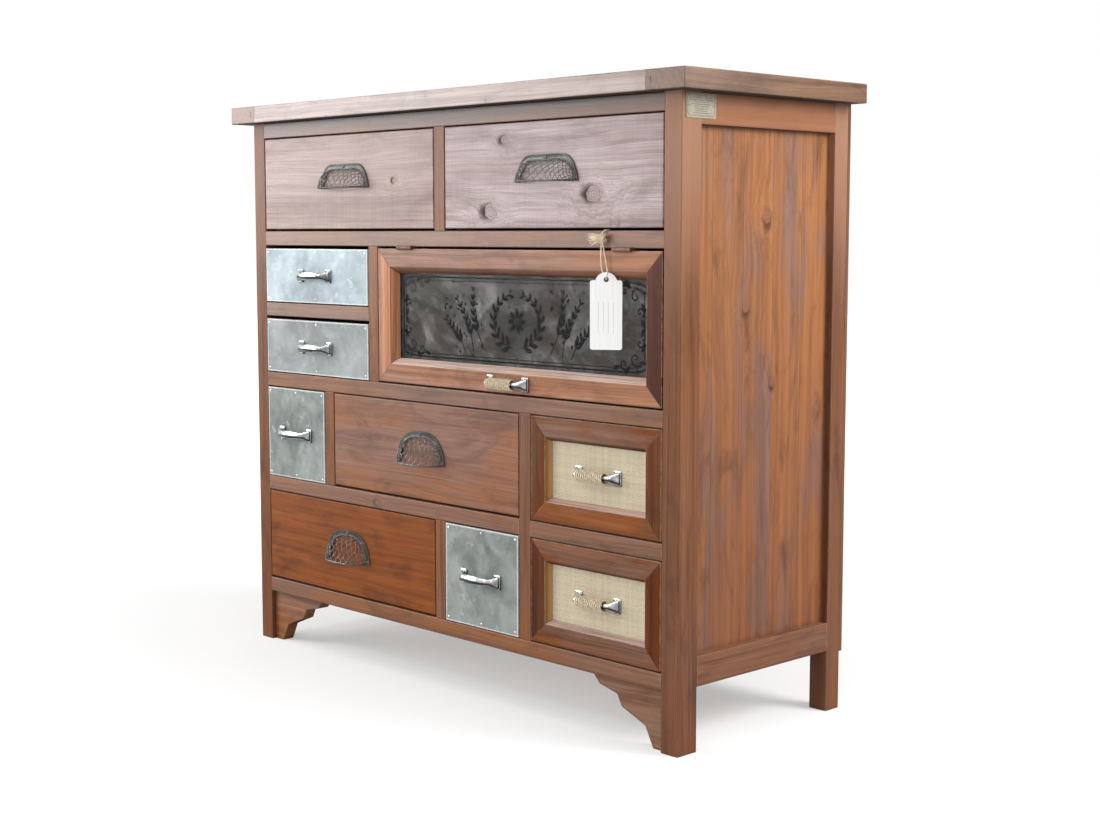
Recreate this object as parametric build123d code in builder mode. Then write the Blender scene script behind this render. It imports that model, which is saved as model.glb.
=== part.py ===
from build123d import *
import os
from dataclasses import dataclass
from math import cos, pi, radians, sin, sqrt

# A chest of drawers on short legs: ten drawers and one lift-up glazed flap.
# Millimetres, +Z up, the fronts face -Y, the origin is under the middle of the whole object.

# Carcass
BODY_WIDTH = 855.0  # across the outer faces of the posts
BODY_DEPTH = 313.0  # face of the front posts to the rear of the back posts
LEG_HEIGHT = 75.0  # floor to the underside of the bottom rail
RAIL_HEIGHT = 21.0  # face rails
TOP_RAIL_HEIGHT = 22.0
DIVIDER_WIDTH = 21.0  # upright face dividers
FACE_DEPTH = 21.0  # front-to-back size of rails and dividers
POST_WIDTH = 27.0
FRONT_POST_DEPTH = 34.0
REAR_POST_DEPTH = 27.0
TOP_THICKNESS = 24.0
TOP_SIDE_OVERHANG = 24.0
TOP_FRONT_OVERHANG = 23.0
TOP_END_WIDTH = 60.0  # cross-grain end pieces of the top
TONGUE = 8.0  # tongue of the top and its groove in the end pieces
BACK_THICKNESS = 5.0
EASE = 1.2  # rounding of the worn outer edges

# Openings of the face frame
BOTTOM_ROW = 135.0
SECOND_ROW = 136.0
FLAP_ROW = 188.0
TOP_ROW = 136.0
SMALL_ZINC_WIDTH = 247.0
SMALL_RAIL_HEIGHT = 20.0  # rail between the two small zinc drawers
TALL_ZINC_WIDTH = 142.0
BURLAP_WIDTH = 225.5
TALL_LOW_WIDTH = 145.5  # the wooden drawer beside it takes what the row leaves

# Side frames and inner woodwork
SIDE_RAIL_HEIGHT = 37.0
SIDE_RAIL_RISE = 4.0  # lower side rail above the bottom rail's underside
PANEL_RECESS = 10.0  # side panel behind the outer face of the posts
PANEL_THICKNESS = 8.0
PANEL_GROOVE = 6.0
PANEL_PLAY = 0.5  # room for the panel to swell
TENON_LENGTH = 10.0
TENON_THICKNESS = 9.0
TENON_SHOULDER = 3.0
MORTISE_PLAY = 1.0  # mortise deeper than its tenon
REAR_RAIL_DEPTH = 21.0
REAR_TOP_RAIL_HEIGHT = 36.0
DUST_THICKNESS = 9.0  # boards that the drawers run on
PARTITION_THICKNESS = 15.0
GUIDE_HEIGHT = 25.0
STOP_HEIGHT = 10.0  # strip that the closed flap rests against
STOP_DEPTH = 11.0
BRACKET_REACH = 120.0
BRACKET_THICKNESS = 18.0
BRACKET_RECESS = 7.0
BRACKET_ROUND = 4.0

# Drawers
FRONT_THICKNESS = 18.0
SIDE_GAP = 1.5  # between a front and its opening, each side
WOOD_GAP_BELOW = 3.0
WOOD_GAP_ABOVE = 1.5
SMALL_ZINC_GAP_ABOVE = 4.5
ZINC_GAP_BELOW = 1.5
ZINC_GAP_ABOVE = 1.6
BURLAP_GAP_BELOW = 2.0
BURLAP_GAP_ABOVE = 1.4
BOX_SIDE = 12.0
BOX_REAR_GAP = 4.0  # box to the rear rails
BOX_GAP = 2.5  # box side to the edge of its opening
BOX_HEADROOM = 14.0
BOX_BOTTOM = 4.0
BOTTOM_RISE = 8.0
BOTTOM_GROOVE = 5.0
RUN_CLEARANCE = 0.3  # under the sliding sides
SHEET = 0.8  # zinc sheet
SHEET_PROUD = 1.0  # zinc face in front of the face frame
SHEET_RETURN = 12.0

# Moulded frames of the flap and the burlap drawers
FLAP_THICKNESS = 20.0
FLAP_FLAT = 25.0
FLAP_BEAD = 8.0
FLAP_RECESS = 12.0
FLAP_GAP_BELOW = 2.5
GLASS = 3.0
BURLAP_FLAT = 25.0
BURLAP_BEAD = 5.0
BURLAP_RECESS = 9.5
BEAD_QUIRK = 1.2
BEAD_LIP = 1.0  # square edge of the bead at the pane
PANE_LAP = 6.0  # pane edge held behind the bead

# Flap hinges
HINGE_GAP = 3.0  # flap to the rail above
HINGE_LENGTH = 30.0
HINGE_INSET = 62.0  # end of the flap to the middle of a hinge
LEAF = 1.2
LEAF_WIDTH = 14.0
KNUCKLE_RADIUS = 3.0
PIN_RADIUS = 1.2
PIN_FIT = 0.06
HINGE_PLAY = 0.3

# Bow pulls and their rope
PULL_LENGTH = 78.0
FOOT_LENGTH = 12.0
FOOT_HEIGHT = 19.0
FOOT_THICKNESS = 3.0
FOOT_ROUND = 0.8
BOW_NECK = 14.0  # foot to the start of the bar
BOW_REACH = 14.0  # seat to the middle of the bow
BOW_ARCH = 1.5  # rise of the bow's middle over its shoulders
BOW_HEIGHT = 12.5
BOW_THICKNESS = 9.0
BOW_SHOULDER = 0.86  # shoulder sizes over middle sizes
GRIP_NECK = 8.5
GRIP_REACH = 14.0  # seat to the axis of a straight grip
GRIP_RADIUS = 4.3
ROPE_RADIUS = 1.4
ROPE_PLAY = 0.2
ROPE_PITCH = 3.35
ROPE_TURNS = 14
SCREW_RADIUS = 2.0
SCREW_FIT = 0.15
SCREW_BITE = 7.0
SCREW_HEAD = 3.6
SCREW_HEAD_HEIGHT = 2.4

# Cup pulls
WIDE_CUP = 112.0
WIDE_CUP_HEIGHT = 34.0
WIDE_CUP_DROP = 8.0  # base line below the middle of the opening
ROUND_CUP = 100.0
ROUND_CUP_HEIGHT = 44.0
ROUND_CUP_DROP = 16.0
CUP_REACH = 24.0
CUP_RIM = 8.0  # flange around the hollow
CUP_PLATE = 2.0
CUP_WALL = 1.8
CUP_SCREW_RADIUS = 1.5
CUP_SCREW_HEAD = 2.6
CUP_SCREW_LENGTH = 12.0

# Name plate and hang tag
PLATE_WIDTH = 51.0
PLATE_HEIGHT = 28.0
PLATE_THICKNESS = 1.0
PLATE_INSET = 6.0
PLATE_DROP = 2.0  # below the underside of the top
TAG_X = 310.5  # hole of the tag, from the middle of the chest
TAG_SET_OUT = 2.5  # hole in front of the face frame
TAG_DROP = 37.0  # hole below the rail
TAG_WIDTH = 39.0
TAG_HEIGHT = 83.0
TAG_SHOULDER = 1.0  # hole to the shoulders of the tag
TAG_CORNER = 3.0
TAG_HEAD = 13.5
TAG_HEAD_RISE = 9.6
TAG_THICKNESS = 2.0
TAG_HOLE = 3.2
TAG_YAW = 35.0
TWINE_RADIUS = 0.9
TWINE_SPREAD = 2.6  # strands from the middle of the tag
KNOT_RADIUS = 4.5
KNOT_SPREAD = 1.3  # strands from the middle of the knot
KNOT_LEAN = 7.0  # knot to the left of the hole, along the tag
KNOT_RISE = 12.0  # knot above the rail's underside

# Levels
bottom_floor = LEG_HEIGHT + RAIL_HEIGHT
bottom_ceiling = bottom_floor + BOTTOM_ROW
second_floor = bottom_ceiling + RAIL_HEIGHT
second_ceiling = second_floor + SECOND_ROW
flap_floor = second_ceiling + RAIL_HEIGHT
flap_ceiling = flap_floor + FLAP_ROW
top_floor = flap_ceiling + RAIL_HEIGHT
top_ceiling = top_floor + TOP_ROW
carcass_top = top_ceiling + TOP_RAIL_HEIGHT
total_height = carcass_top + TOP_THICKNESS
small_opening = (FLAP_ROW - SMALL_RAIL_HEIGHT) / 2
small_rail_z = (flap_floor + small_opening, flap_floor + small_opening + SMALL_RAIL_HEIGHT)

# Upright lines
right_face = BODY_WIDTH / 2
left_face = -right_face
left_jamb = left_face + POST_WIDTH
right_jamb = -left_jamb
top_divider = (-DIVIDER_WIDTH / 2, DIVIDER_WIDTH / 2)
flap_divider = (left_jamb + SMALL_ZINC_WIDTH, left_jamb + SMALL_ZINC_WIDTH + DIVIDER_WIDTH)
second_divider = (left_jamb + TALL_ZINC_WIDTH, left_jamb + TALL_ZINC_WIDTH + DIVIDER_WIDTH)
burlap_divider = (right_jamb - BURLAP_WIDTH - DIVIDER_WIDTH, right_jamb - BURLAP_WIDTH)
bottom_divider = (
    burlap_divider[0] - TALL_LOW_WIDTH - DIVIDER_WIDTH,
    burlap_divider[0] - TALL_LOW_WIDTH,
)

# Depths: the furthest-forward piece and the back set where the face frame stands
rope_ring = GRIP_RADIUS + ROPE_PLAY + ROPE_RADIUS
bow_front = SHEET_PROUD + BOW_REACH + BOW_THICKNESS / 2
rope_front = GRIP_REACH + rope_ring + ROPE_RADIUS
front_reach = max(bow_front, rope_front, TOP_FRONT_OVERHANG)
back_reach = BODY_DEPTH + BACK_THICKNESS
face_y = (front_reach - back_reach) / 2


@dataclass
class Bay:
    """An opening of the face frame, between two upright lines and two levels."""

    x: tuple
    z: tuple

    @property
    def middle(self):
        return (self.x[0] + self.x[1]) / 2, (self.z[0] + self.z[1]) / 2


def behind(near, far):
    """Y limits of something between two distances behind the face frame."""
    return face_y + near, face_y + far


def board(x, y, z, mode=Mode.ADD):
    """A rectangular board between the given limits."""
    with Locations(((x[0] + x[1]) / 2, (y[0] + y[1]) / 2, (z[0] + z[1]) / 2)):
        Box(x[1] - x[0], y[1] - y[0], z[1] - z[0], mode=mode)


def drill(x, z, y, radius):
    """A round hole from front to back."""
    with Locations((x, (y[0] + y[1]) / 2, z)):
        Cylinder(radius, y[1] - y[0], rotation=(90, 0, 0), mode=Mode.SUBTRACT)


def plain_board(x, y, z):
    """A separate board with square edges."""
    with BuildPart() as piece:
        board(x, y, z)
    return piece.part


def mirrored(part):
    """The same piece on the other side of the chest."""
    with BuildPart() as piece:
        mirror(part, about=Plane.YZ)
    return piece.part


def seat(x, z, depth=0.0):
    """Plane of a fitting on a front: local Z points outwards, local Y up."""
    return Plane(origin=(x, face_y + depth, z), x_dir=(1, 0, 0), z_dir=(0, -1, 0))


def write_node(name, *pieces):
    """One STEP file: a single piece, or a group of separate ones."""
    node = pieces[0] if len(pieces) == 1 else Compound(children=list(pieces))
    node.label = name
    export_step(node, f"parts/{name}.step")


os.makedirs("parts", exist_ok=True)

# Top: a long-grain board with tongues in two cross-grain ends
top_x = right_face + TOP_SIDE_OVERHANG
top_y = behind(-TOP_FRONT_OVERHANG, back_reach)
top_z = (carcass_top, total_height)
seam_x = top_x - TOP_END_WIDTH
tongue_z = (carcass_top + (TOP_THICKNESS - TONGUE) / 2, carcass_top + (TOP_THICKNESS + TONGUE) / 2)
with BuildPart() as top_main:
    board((-seam_x, seam_x), top_y, top_z)
    fillet(top_main.edges().filter_by(Axis.X), EASE)
    board((-seam_x - TONGUE, seam_x + TONGUE), top_y, tongue_z)
with BuildPart() as top_end:
    board((seam_x, top_x), top_y, top_z)
    fillet(top_end.edges().filter_by(Axis.X), EASE)
    fillet(top_end.faces().sort_by(Axis.X)[-1].edges(), EASE * 0.8)
    board((seam_x, seam_x + TONGUE + MORTISE_PLAY), top_y, tongue_z, mode=Mode.SUBTRACT)
write_node("top_board", top_main.part, top_end.part, mirrored(top_end.part))

# Face rails with stub tenons, and dividers butted between them
full = (left_jamb, right_jamb)
rail_rows = [
    (full, (LEG_HEIGHT, bottom_floor)),
    ((left_jamb, burlap_divider[0]), (bottom_ceiling, second_floor)),
    ((burlap_divider[1], right_jamb), (bottom_ceiling, second_floor)),
    (full, (second_ceiling, flap_floor)),
    ((left_jamb, flap_divider[0]), small_rail_z),
    (full, (flap_ceiling, top_floor)),
    (full, (top_ceiling, carcass_top)),
]
tenon_y = behind((FACE_DEPTH - TENON_THICKNESS) / 2, (FACE_DEPTH + TENON_THICKNESS) / 2)


def shouldered(z, shoulder=TENON_SHOULDER):
    """Height of a tenon on a rail of this height."""
    return z[0] + shoulder, z[1] - shoulder


def face_rail(x, z):
    with BuildPart() as rail:
        board(x, behind(0, FACE_DEPTH), z)
        fillet(rail.edges().filter_by(Axis.X).group_by(Axis.Y)[0], EASE)
        if x[0] == left_jamb:
            board((x[0] - TENON_LENGTH, x[0] + TENON_LENGTH), tenon_y, shouldered(z))
        if x[1] == right_jamb:
            board((x[1] - TENON_LENGTH, x[1] + TENON_LENGTH), tenon_y, shouldered(z))
    return rail.part


def face_divider(x, z):
    with BuildPart() as divider:
        board(x, behind(0, FACE_DEPTH), z)
        fillet(divider.edges().filter_by(Axis.Z).group_by(Axis.Y)[0], EASE)
    return divider.part


write_node("front_rails", *[face_rail(x, z) for x, z in rail_rows])
write_node(
    "front_dividers",
    face_divider(top_divider, (top_floor, top_ceiling)),
    face_divider(flap_divider, (flap_floor, flap_ceiling)),
    face_divider(second_divider, (second_floor, second_ceiling)),
    face_divider(bottom_divider, (bottom_floor, bottom_ceiling)),
    face_divider(burlap_divider, (bottom_floor, second_ceiling)),
)

# Posts: grooved for the side panels, mortised for the rails
side_low_z = (LEG_HEIGHT + SIDE_RAIL_RISE, LEG_HEIGHT + SIDE_RAIL_RISE + SIDE_RAIL_HEIGHT)
side_high_z = (carcass_top - SIDE_RAIL_HEIGHT, carcass_top)
rear_low_z = (LEG_HEIGHT, bottom_floor - DUST_THICKNESS)
rear_high_z = (carcass_top - REAR_TOP_RAIL_HEIGHT, carcass_top)
panel_x = (left_face + PANEL_RECESS, left_face + PANEL_RECESS + PANEL_THICKNESS)
groove_z = (side_low_z[1] - PANEL_GROOVE, side_high_z[0] + PANEL_GROOVE)
side_tenon_x = (
    (left_face + panel_x[1] - TENON_THICKNESS) / 2,
    (left_face + panel_x[1] + TENON_THICKNESS) / 2,
)
side_shoulder = PANEL_GROOVE + TENON_SHOULDER
rear_rail_y = behind(BODY_DEPTH - REAR_RAIL_DEPTH, BODY_DEPTH)
rear_tenon_y = (
    (rear_rail_y[0] + rear_rail_y[1] - TENON_THICKNESS) / 2,
    (rear_rail_y[0] + rear_rail_y[1] + TENON_THICKNESS) / 2,
)
rear_post_front = BODY_DEPTH - REAR_POST_DEPTH
mortise_depth = TENON_LENGTH + MORTISE_PLAY


def front_post(rails):
    """Left front post, mortised for the face rails that meet it."""
    with BuildPart() as post:
        board((left_face, left_jamb), behind(0, FRONT_POST_DEPTH), (0, carcass_top))
        fillet(post.edges().filter_by(Axis.Z), EASE)
        groove = behind(FRONT_POST_DEPTH - PANEL_GROOVE, FRONT_POST_DEPTH)
        board(panel_x, groove, groove_z, mode=Mode.SUBTRACT)
        for z in rails:
            board((left_jamb - mortise_depth, left_jamb), tenon_y, shouldered(z), mode=Mode.SUBTRACT)
        side_mortise = behind(FRONT_POST_DEPTH - mortise_depth, FRONT_POST_DEPTH)
        for z in (side_low_z, side_high_z):
            board(side_tenon_x, side_mortise, shouldered(z, side_shoulder), mode=Mode.SUBTRACT)
    return post.part


def rear_post():
    """Left rear post."""
    with BuildPart() as post:
        board((left_face, left_jamb), behind(rear_post_front, BODY_DEPTH), (0, carcass_top))
        fillet(post.edges().filter_by(Axis.Z), EASE)
        groove = behind(rear_post_front, rear_post_front + PANEL_GROOVE)
        board(panel_x, groove, groove_z, mode=Mode.SUBTRACT)
        side_mortise = behind(rear_post_front, rear_post_front + mortise_depth)
        for z in (side_low_z, side_high_z):
            board(side_tenon_x, side_mortise, shouldered(z, side_shoulder), mode=Mode.SUBTRACT)
        for z in (rear_low_z, rear_high_z):
            board((left_jamb - mortise_depth, left_jamb), rear_tenon_y, shouldered(z), mode=Mode.SUBTRACT)
    return post.part


left_rails = [z for x, z in rail_rows if x[0] == left_jamb]
right_rails = [z for x, z in rail_rows if x[1] == right_jamb]
write_node("front_left_post", front_post(left_rails))
write_node("front_right_post", mirrored(front_post(right_rails)))
write_node("rear_left_post", rear_post())
write_node("rear_right_post", mirrored(rear_post()))


def side_rail(z, groove):
    """Left side rail between the posts, grooved for the panel."""
    with BuildPart() as rail:
        board((left_face, panel_x[1]), behind(FRONT_POST_DEPTH, rear_post_front), z)
        fillet(rail.edges().filter_by(Axis.Y).group_by(Axis.X)[0], EASE)
        ends = behind(FRONT_POST_DEPTH - TENON_LENGTH, rear_post_front + TENON_LENGTH)
        board(side_tenon_x, ends, shouldered(z, side_shoulder))
        board(panel_x, behind(FRONT_POST_DEPTH, rear_post_front), groove, mode=Mode.SUBTRACT)
    return rail.part


def rear_rail(z):
    with BuildPart() as rail:
        board(full, rear_rail_y, z)
        board((left_jamb - TENON_LENGTH, right_jamb + TENON_LENGTH), rear_tenon_y, shouldered(z))
    return rail.part


low_side_rail = side_rail(side_low_z, (groove_z[0], side_low_z[1]))
high_side_rail = side_rail(side_high_z, (side_high_z[0], groove_z[1]))
write_node(
    "carcass_rails",
    low_side_rail,
    high_side_rail,
    mirrored(low_side_rail),
    mirrored(high_side_rail),
    rear_rail(rear_low_z),
    rear_rail(rear_high_z),
)

panel_y = behind(FRONT_POST_DEPTH - PANEL_GROOVE + PANEL_PLAY, rear_post_front + PANEL_GROOVE - PANEL_PLAY)
left_panel = plain_board(panel_x, panel_y, (groove_z[0] + PANEL_PLAY, groove_z[1] - PANEL_PLAY))
write_node("side_panels", left_panel, mirrored(left_panel))
back_z = (LEG_HEIGHT, carcass_top)
write_node("back_panel", plain_board((left_face, right_face), behind(BODY_DEPTH, back_reach), back_z))

# Stepped bracket feet behind the bottom rail, three rounded steps up from the toe
bracket_steps = [(0.15, 0.0), (0.26, 0.34), (0.59, 0.55), (0.65, 0.74), (0.9, 0.83), (1.0, 1.0)]
bracket_outline = [(run * BRACKET_REACH, rise * LEG_HEIGHT) for run, rise in bracket_steps]
with BuildPart() as left_bracket:
    with BuildSketch(seat(left_jamb, 0, BRACKET_RECESS)) as bracket_face:
        with BuildLine():
            Polyline((0, LEG_HEIGHT), (0, 0), *bracket_outline, close=True)
        make_face()
        levels = bracket_face.vertices().group_by(Axis.Y)
        fillet([corner for level in levels[1:-1] for corner in level], BRACKET_ROUND)
    extrude(amount=-BRACKET_THICKNESS)
write_node("bracket_feet", left_bracket.part, mirrored(left_bracket.part))

# Dust boards carry the drawers, partitions part them, guides run along the side panels
inner_y = behind(FACE_DEPTH, BODY_DEPTH)
partition_y = behind(FACE_DEPTH, BODY_DEPTH - REAR_RAIL_DEPTH)


def partition_x(divider):
    """Panel centred behind a face divider."""
    middle = (divider[0] + divider[1]) / 2
    return middle - PARTITION_THICKNESS / 2, middle + PARTITION_THICKNESS / 2


def dust_board(x, level):
    return plain_board(x, inner_y, (level - DUST_THICKNESS, level))


write_node(
    "dust_boards",
    dust_board(full, bottom_floor),
    dust_board((left_jamb, partition_x(burlap_divider)[0]), second_floor),
    dust_board((partition_x(burlap_divider)[1], right_jamb), second_floor),
    dust_board(full, flap_floor),
    dust_board((left_jamb, partition_x(flap_divider)[0]), small_rail_z[1]),
    dust_board(full, top_floor),
)
write_node(
    "partitions",
    plain_board(partition_x(top_divider), partition_y, (top_floor, carcass_top)),
    plain_board(partition_x(flap_divider), partition_y, (flap_floor, top_floor - DUST_THICKNESS)),
    plain_board(partition_x(second_divider), partition_y, (second_floor, flap_floor - DUST_THICKNESS)),
    plain_board(partition_x(bottom_divider), partition_y, (bottom_floor, second_floor - DUST_THICKNESS)),
    plain_board(partition_x(burlap_divider), partition_y, (bottom_floor, flap_floor - DUST_THICKNESS)),
)


def guide(level):
    y = behind(FRONT_POST_DEPTH, rear_post_front)
    return plain_board((panel_x[1], left_jamb), y, (level - DUST_THICKNESS, level + GUIDE_HEIGHT))


stop_y = behind(FLAP_THICKNESS + HINGE_PLAY, FLAP_THICKNESS + HINGE_PLAY + STOP_DEPTH)
stop_x = (flap_divider[1], right_jamb - EASE)
write_node(
    "guide_strips",
    *[guide(level) for level in (bottom_floor, second_floor, flap_floor, small_rail_z[1], top_floor)],
    *[mirrored(guide(level)) for level in (bottom_floor, second_floor, top_floor)],
    plain_board(stop_x, stop_y, (flap_floor, flap_floor + STOP_HEIGHT)),
)

# Fittings are made once at a seat on the XY plane, outwards +Z, and then set on their fronts
foot_x = (PULL_LENGTH - FOOT_LENGTH) / 2
bow_end = foot_x - BOW_NECK
grip_end = foot_x - GRIP_NECK
neck_stations = [(0.0, 0.1, 0, 0.95, 0.95), (0.14, 0.5, 20, 0.62, 0.55), (0.5, 0.85, 55, 0.6, 0.48)]


def pull(bar_end, end_reach, end_size, middle_reach, middle_size):
    """Two flared feet lofted into a bar: sizes are the bar's thickness and height."""
    with BuildPart() as body:
        with Locations((-foot_x, 0, FOOT_THICKNESS / 2), (foot_x, 0, FOOT_THICKNESS / 2)):
            Box(FOOT_LENGTH, FOOT_HEIGHT, FOOT_THICKNESS)
        fillet(body.faces().filter_by(Axis.Z).group_by(Axis.Z)[-1].edges(), FOOT_ROUND)
        for side in (-1, 1):
            for run, rise, tilt, thick, high in neck_stations:
                origin = (side * (foot_x - run * (foot_x - bar_end)), 0, rise * end_reach)
                normal = (-side * sin(radians(tilt)), 0, cos(radians(tilt)))
                with BuildSketch(Plane(origin=origin, x_dir=(0, 1, 0), z_dir=normal)):
                    Ellipse(high * FOOT_HEIGHT * 0.4, thick * FOOT_LENGTH * 0.4)
            end = (side * bar_end, 0, end_reach)
            with BuildSketch(Plane(origin=end, x_dir=(0, 1, 0), z_dir=(-side, 0, 0))):
                Ellipse(end_size[1] / 2, end_size[0] / 2)
            loft()
        stations = [(-bar_end, end_reach, end_size), (0, middle_reach, middle_size)]
        stations.append((bar_end, end_reach, end_size))
        for x, reach, size in stations:
            with BuildSketch(Plane(origin=(x, 0, reach), x_dir=(0, 1, 0), z_dir=(1, 0, 0))):
                Ellipse(size[1] / 2, size[0] / 2)
        loft()
        with Locations((-foot_x, 0, 0), (foot_x, 0, 0)):
            Cylinder(SCREW_RADIUS + PIN_FIT, 2 * SCREW_BITE + MORTISE_PLAY, mode=Mode.SUBTRACT)
    return body.part


def pull_screws(thickness):
    """Two machine screws from behind a front of this thickness into the feet."""
    with BuildPart() as screws:
        for x in (-foot_x, foot_x):
            with Locations((x, 0, (SCREW_BITE - thickness) / 2)):
                Cylinder(SCREW_RADIUS, SCREW_BITE + thickness)
            with Locations((x, 0, -thickness - SCREW_HEAD_HEIGHT / 2)):
                Cylinder(SCREW_HEAD, SCREW_HEAD_HEIGHT)
    return screws.part


grip_size = (2 * GRIP_RADIUS, 2 * GRIP_RADIUS)
shoulder_size = (BOW_SHOULDER * BOW_THICKNESS, BOW_SHOULDER * BOW_HEIGHT)
bow_size = (BOW_THICKNESS, BOW_HEIGHT)
bow_pull = pull(bow_end, BOW_REACH - BOW_ARCH, shoulder_size, BOW_REACH, bow_size)
grip_pull = pull(grip_end, GRIP_REACH, grip_size, GRIP_REACH, grip_size)


def biarc_middle(start, start_way, end, end_way):
    """Meeting point and direction of two tangent arcs between two directed points."""
    chord = end - start
    ways = start_way + end_way
    turn = 2 * (1 - start_way.dot(end_way))
    lean = chord.dot(ways)
    reach = (sqrt(lean * lean + turn * chord.dot(chord)) - lean) / turn
    first = start + start_way * reach
    second = end - end_way * reach
    return (first + second) / 2, (second - first).normalized()


# Rope wound round a straight grip: a helix of quarter turns with straight ends
rope_rise = ROPE_PITCH / (2 * pi)
rope_points = []
for quarter in range(4 * ROPE_TURNS + 1):
    angle = quarter * pi / 2
    x = (quarter / 4 - ROPE_TURNS / 2) * ROPE_PITCH
    at = Vector(x, rope_ring * cos(angle), GRIP_REACH + rope_ring * sin(angle))
    way = Vector(rope_rise, -rope_ring * sin(angle), rope_ring * cos(angle)).normalized()
    rope_points.append((at, way))
first_at, first_way = rope_points[0]
last_at, last_way = rope_points[-1]
rope_start = first_at - first_way * 2 * ROPE_RADIUS
with BuildPart() as rope_wrap:
    with BuildLine() as rope_path:
        Line(rope_start, first_at)
        for (at, way), (next_at, next_way) in zip(rope_points, rope_points[1:]):
            mid, mid_way = biarc_middle(at, way, next_at, next_way)
            TangentArc(at, mid, tangent=way)
            TangentArc(mid, next_at, tangent=mid_way)
        Line(last_at, last_at + last_way * 2 * ROPE_RADIUS)
    with BuildSketch(Plane(origin=rope_start, z_dir=first_way)):
        Circle(ROPE_RADIUS)
    sweep()
rope_length = rope_path.wire().length
samples = 40 * ROPE_TURNS
walk = [rope_path.wire().position_at(i / samples) for i in range(samples + 1)]
apart = min((walk[i] - walk[k]).length for i in range(samples) for k in range(i + 20, samples + 1))
print("rope turns", ROPE_TURNS, "least gap to itself", round(apart - 2 * ROPE_RADIUS, 3))
print("rope volume over section times length", rope_wrap.part.volume / (pi * ROPE_RADIUS**2 * rope_length))


@dataclass
class Cup:
    """A cup pull with its screws and their places from the middle of its base line."""

    body: Part
    screws: Part
    places: list


def cup_pull(width, height):
    """A half-oval rim round a quarter of an ellipsoid that is open below."""
    half = width / 2
    rim_middle = CUP_RIM / 2
    places = [(0, height - rim_middle), (rim_middle - half, rim_middle), (half - rim_middle, rim_middle)]
    with BuildPart() as dome:
        Sphere(1, arc_size1=0, arc_size3=180, align=(Align.CENTER, Align.MIN, Align.MIN))
    outer = scale(dome.part, by=(half - CUP_RIM, height - CUP_RIM, CUP_REACH))
    inner_size = (half - CUP_RIM - CUP_WALL, height - CUP_RIM - CUP_WALL, CUP_REACH - CUP_WALL)
    inner = scale(dome.part, by=inner_size)
    with BuildPart() as body:
        with BuildSketch():
            with BuildLine():
                EllipticalCenterArc((0, 0), half, height, start_angle=0, arc_size=180)
                Line((-half, 0), (half, 0))
            make_face()
        extrude(amount=CUP_PLATE)
        add(outer)
        add(inner, mode=Mode.SUBTRACT)
        with Locations(places):
            Cylinder(CUP_SCREW_RADIUS + SCREW_FIT, 4 * CUP_PLATE, mode=Mode.SUBTRACT)
    with BuildPart() as screws:
        with Locations([(x, y, CUP_PLATE - CUP_SCREW_LENGTH / 2) for x, y in places]):
            Cylinder(CUP_SCREW_RADIUS, CUP_SCREW_LENGTH)
        with Locations([(x, y, CUP_PLATE) for x, y in places]):
            Cylinder(CUP_SCREW_HEAD, CUP_PLATE / 2, align=(Align.CENTER, Align.CENTER, Align.MIN))
    return Cup(body.part, screws.part, places)


wide_cup = cup_pull(WIDE_CUP, WIDE_CUP_HEIGHT)
round_cup = cup_pull(ROUND_CUP, ROUND_CUP_HEIGHT)

# Drawer boxes
box_rear = BODY_DEPTH - REAR_RAIL_DEPTH - BOX_REAR_GAP


def drawer_box(bay, inner_front=False):
    """Two grooved sides, a back and a bottom behind a front, with a plain inner front if asked."""
    x = (bay.x[0] + BOX_GAP, bay.x[1] - BOX_GAP)
    z = (bay.z[0] + RUN_CLEARANCE, bay.z[1] - BOX_HEADROOM)
    y = behind(FRONT_THICKNESS, box_rear)
    inside = (x[0] + BOX_SIDE, x[1] - BOX_SIDE)
    floor_z = (z[0] + BOTTOM_RISE, z[0] + BOTTOM_RISE + BOX_BOTTOM)
    with BuildPart() as left:
        board((x[0], inside[0]), y, z)
        board((inside[0] - BOTTOM_GROOVE, inside[0]), y, floor_z, mode=Mode.SUBTRACT)
    with BuildPart() as right:
        board((inside[1], x[1]), y, z)
        board((inside[1], inside[1] + BOTTOM_GROOVE), y, floor_z, mode=Mode.SUBTRACT)
    bottom = plain_board((inside[0] - BOTTOM_GROOVE, inside[1] + BOTTOM_GROOVE), y, floor_z)
    back = plain_board(inside, behind(box_rear - BOX_SIDE, box_rear), (floor_z[1], z[1]))
    pieces = [left.part, right.part, bottom, back]
    if inner_front:
        with BuildPart() as front:
            board(inside, behind(FRONT_THICKNESS, FRONT_THICKNESS + BOX_SIDE), (floor_z[1], z[1]))
            for hole in (-foot_x, foot_x):
                drill(bay.middle[0] + hole, bay.middle[1], y, SCREW_RADIUS + SCREW_FIT)
        pieces.append(front.part)
    return pieces


def front_limits(bay, below, above):
    return (bay.x[0] + SIDE_GAP, bay.x[1] - SIDE_GAP), (bay.z[0] + below, bay.z[1] - above)


def wood_drawer(name, bay, cup, drop):
    """A plain wooden front with a cup pull."""
    x, z = front_limits(bay, WOOD_GAP_BELOW, WOOD_GAP_ABOVE)
    base = bay.middle[1] - drop
    with BuildPart() as front:
        board(x, behind(0, FRONT_THICKNESS), z)
        fillet(front.faces().sort_by(Axis.Y)[0].edges(), EASE)
        for hole_x, hole_z in cup.places:
            depth = behind(0, CUP_SCREW_LENGTH)
            drill(bay.middle[0] + hole_x, base + hole_z, depth, CUP_SCREW_RADIUS + SCREW_FIT)
    place = seat(bay.middle[0], base).location
    write_node(f"{name}_front", front.part)
    write_node(f"{name}_box", *drawer_box(bay))
    write_node(f"{name}_cup_pull", cup.body.moved(place), cup.screws.moved(place))


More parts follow.
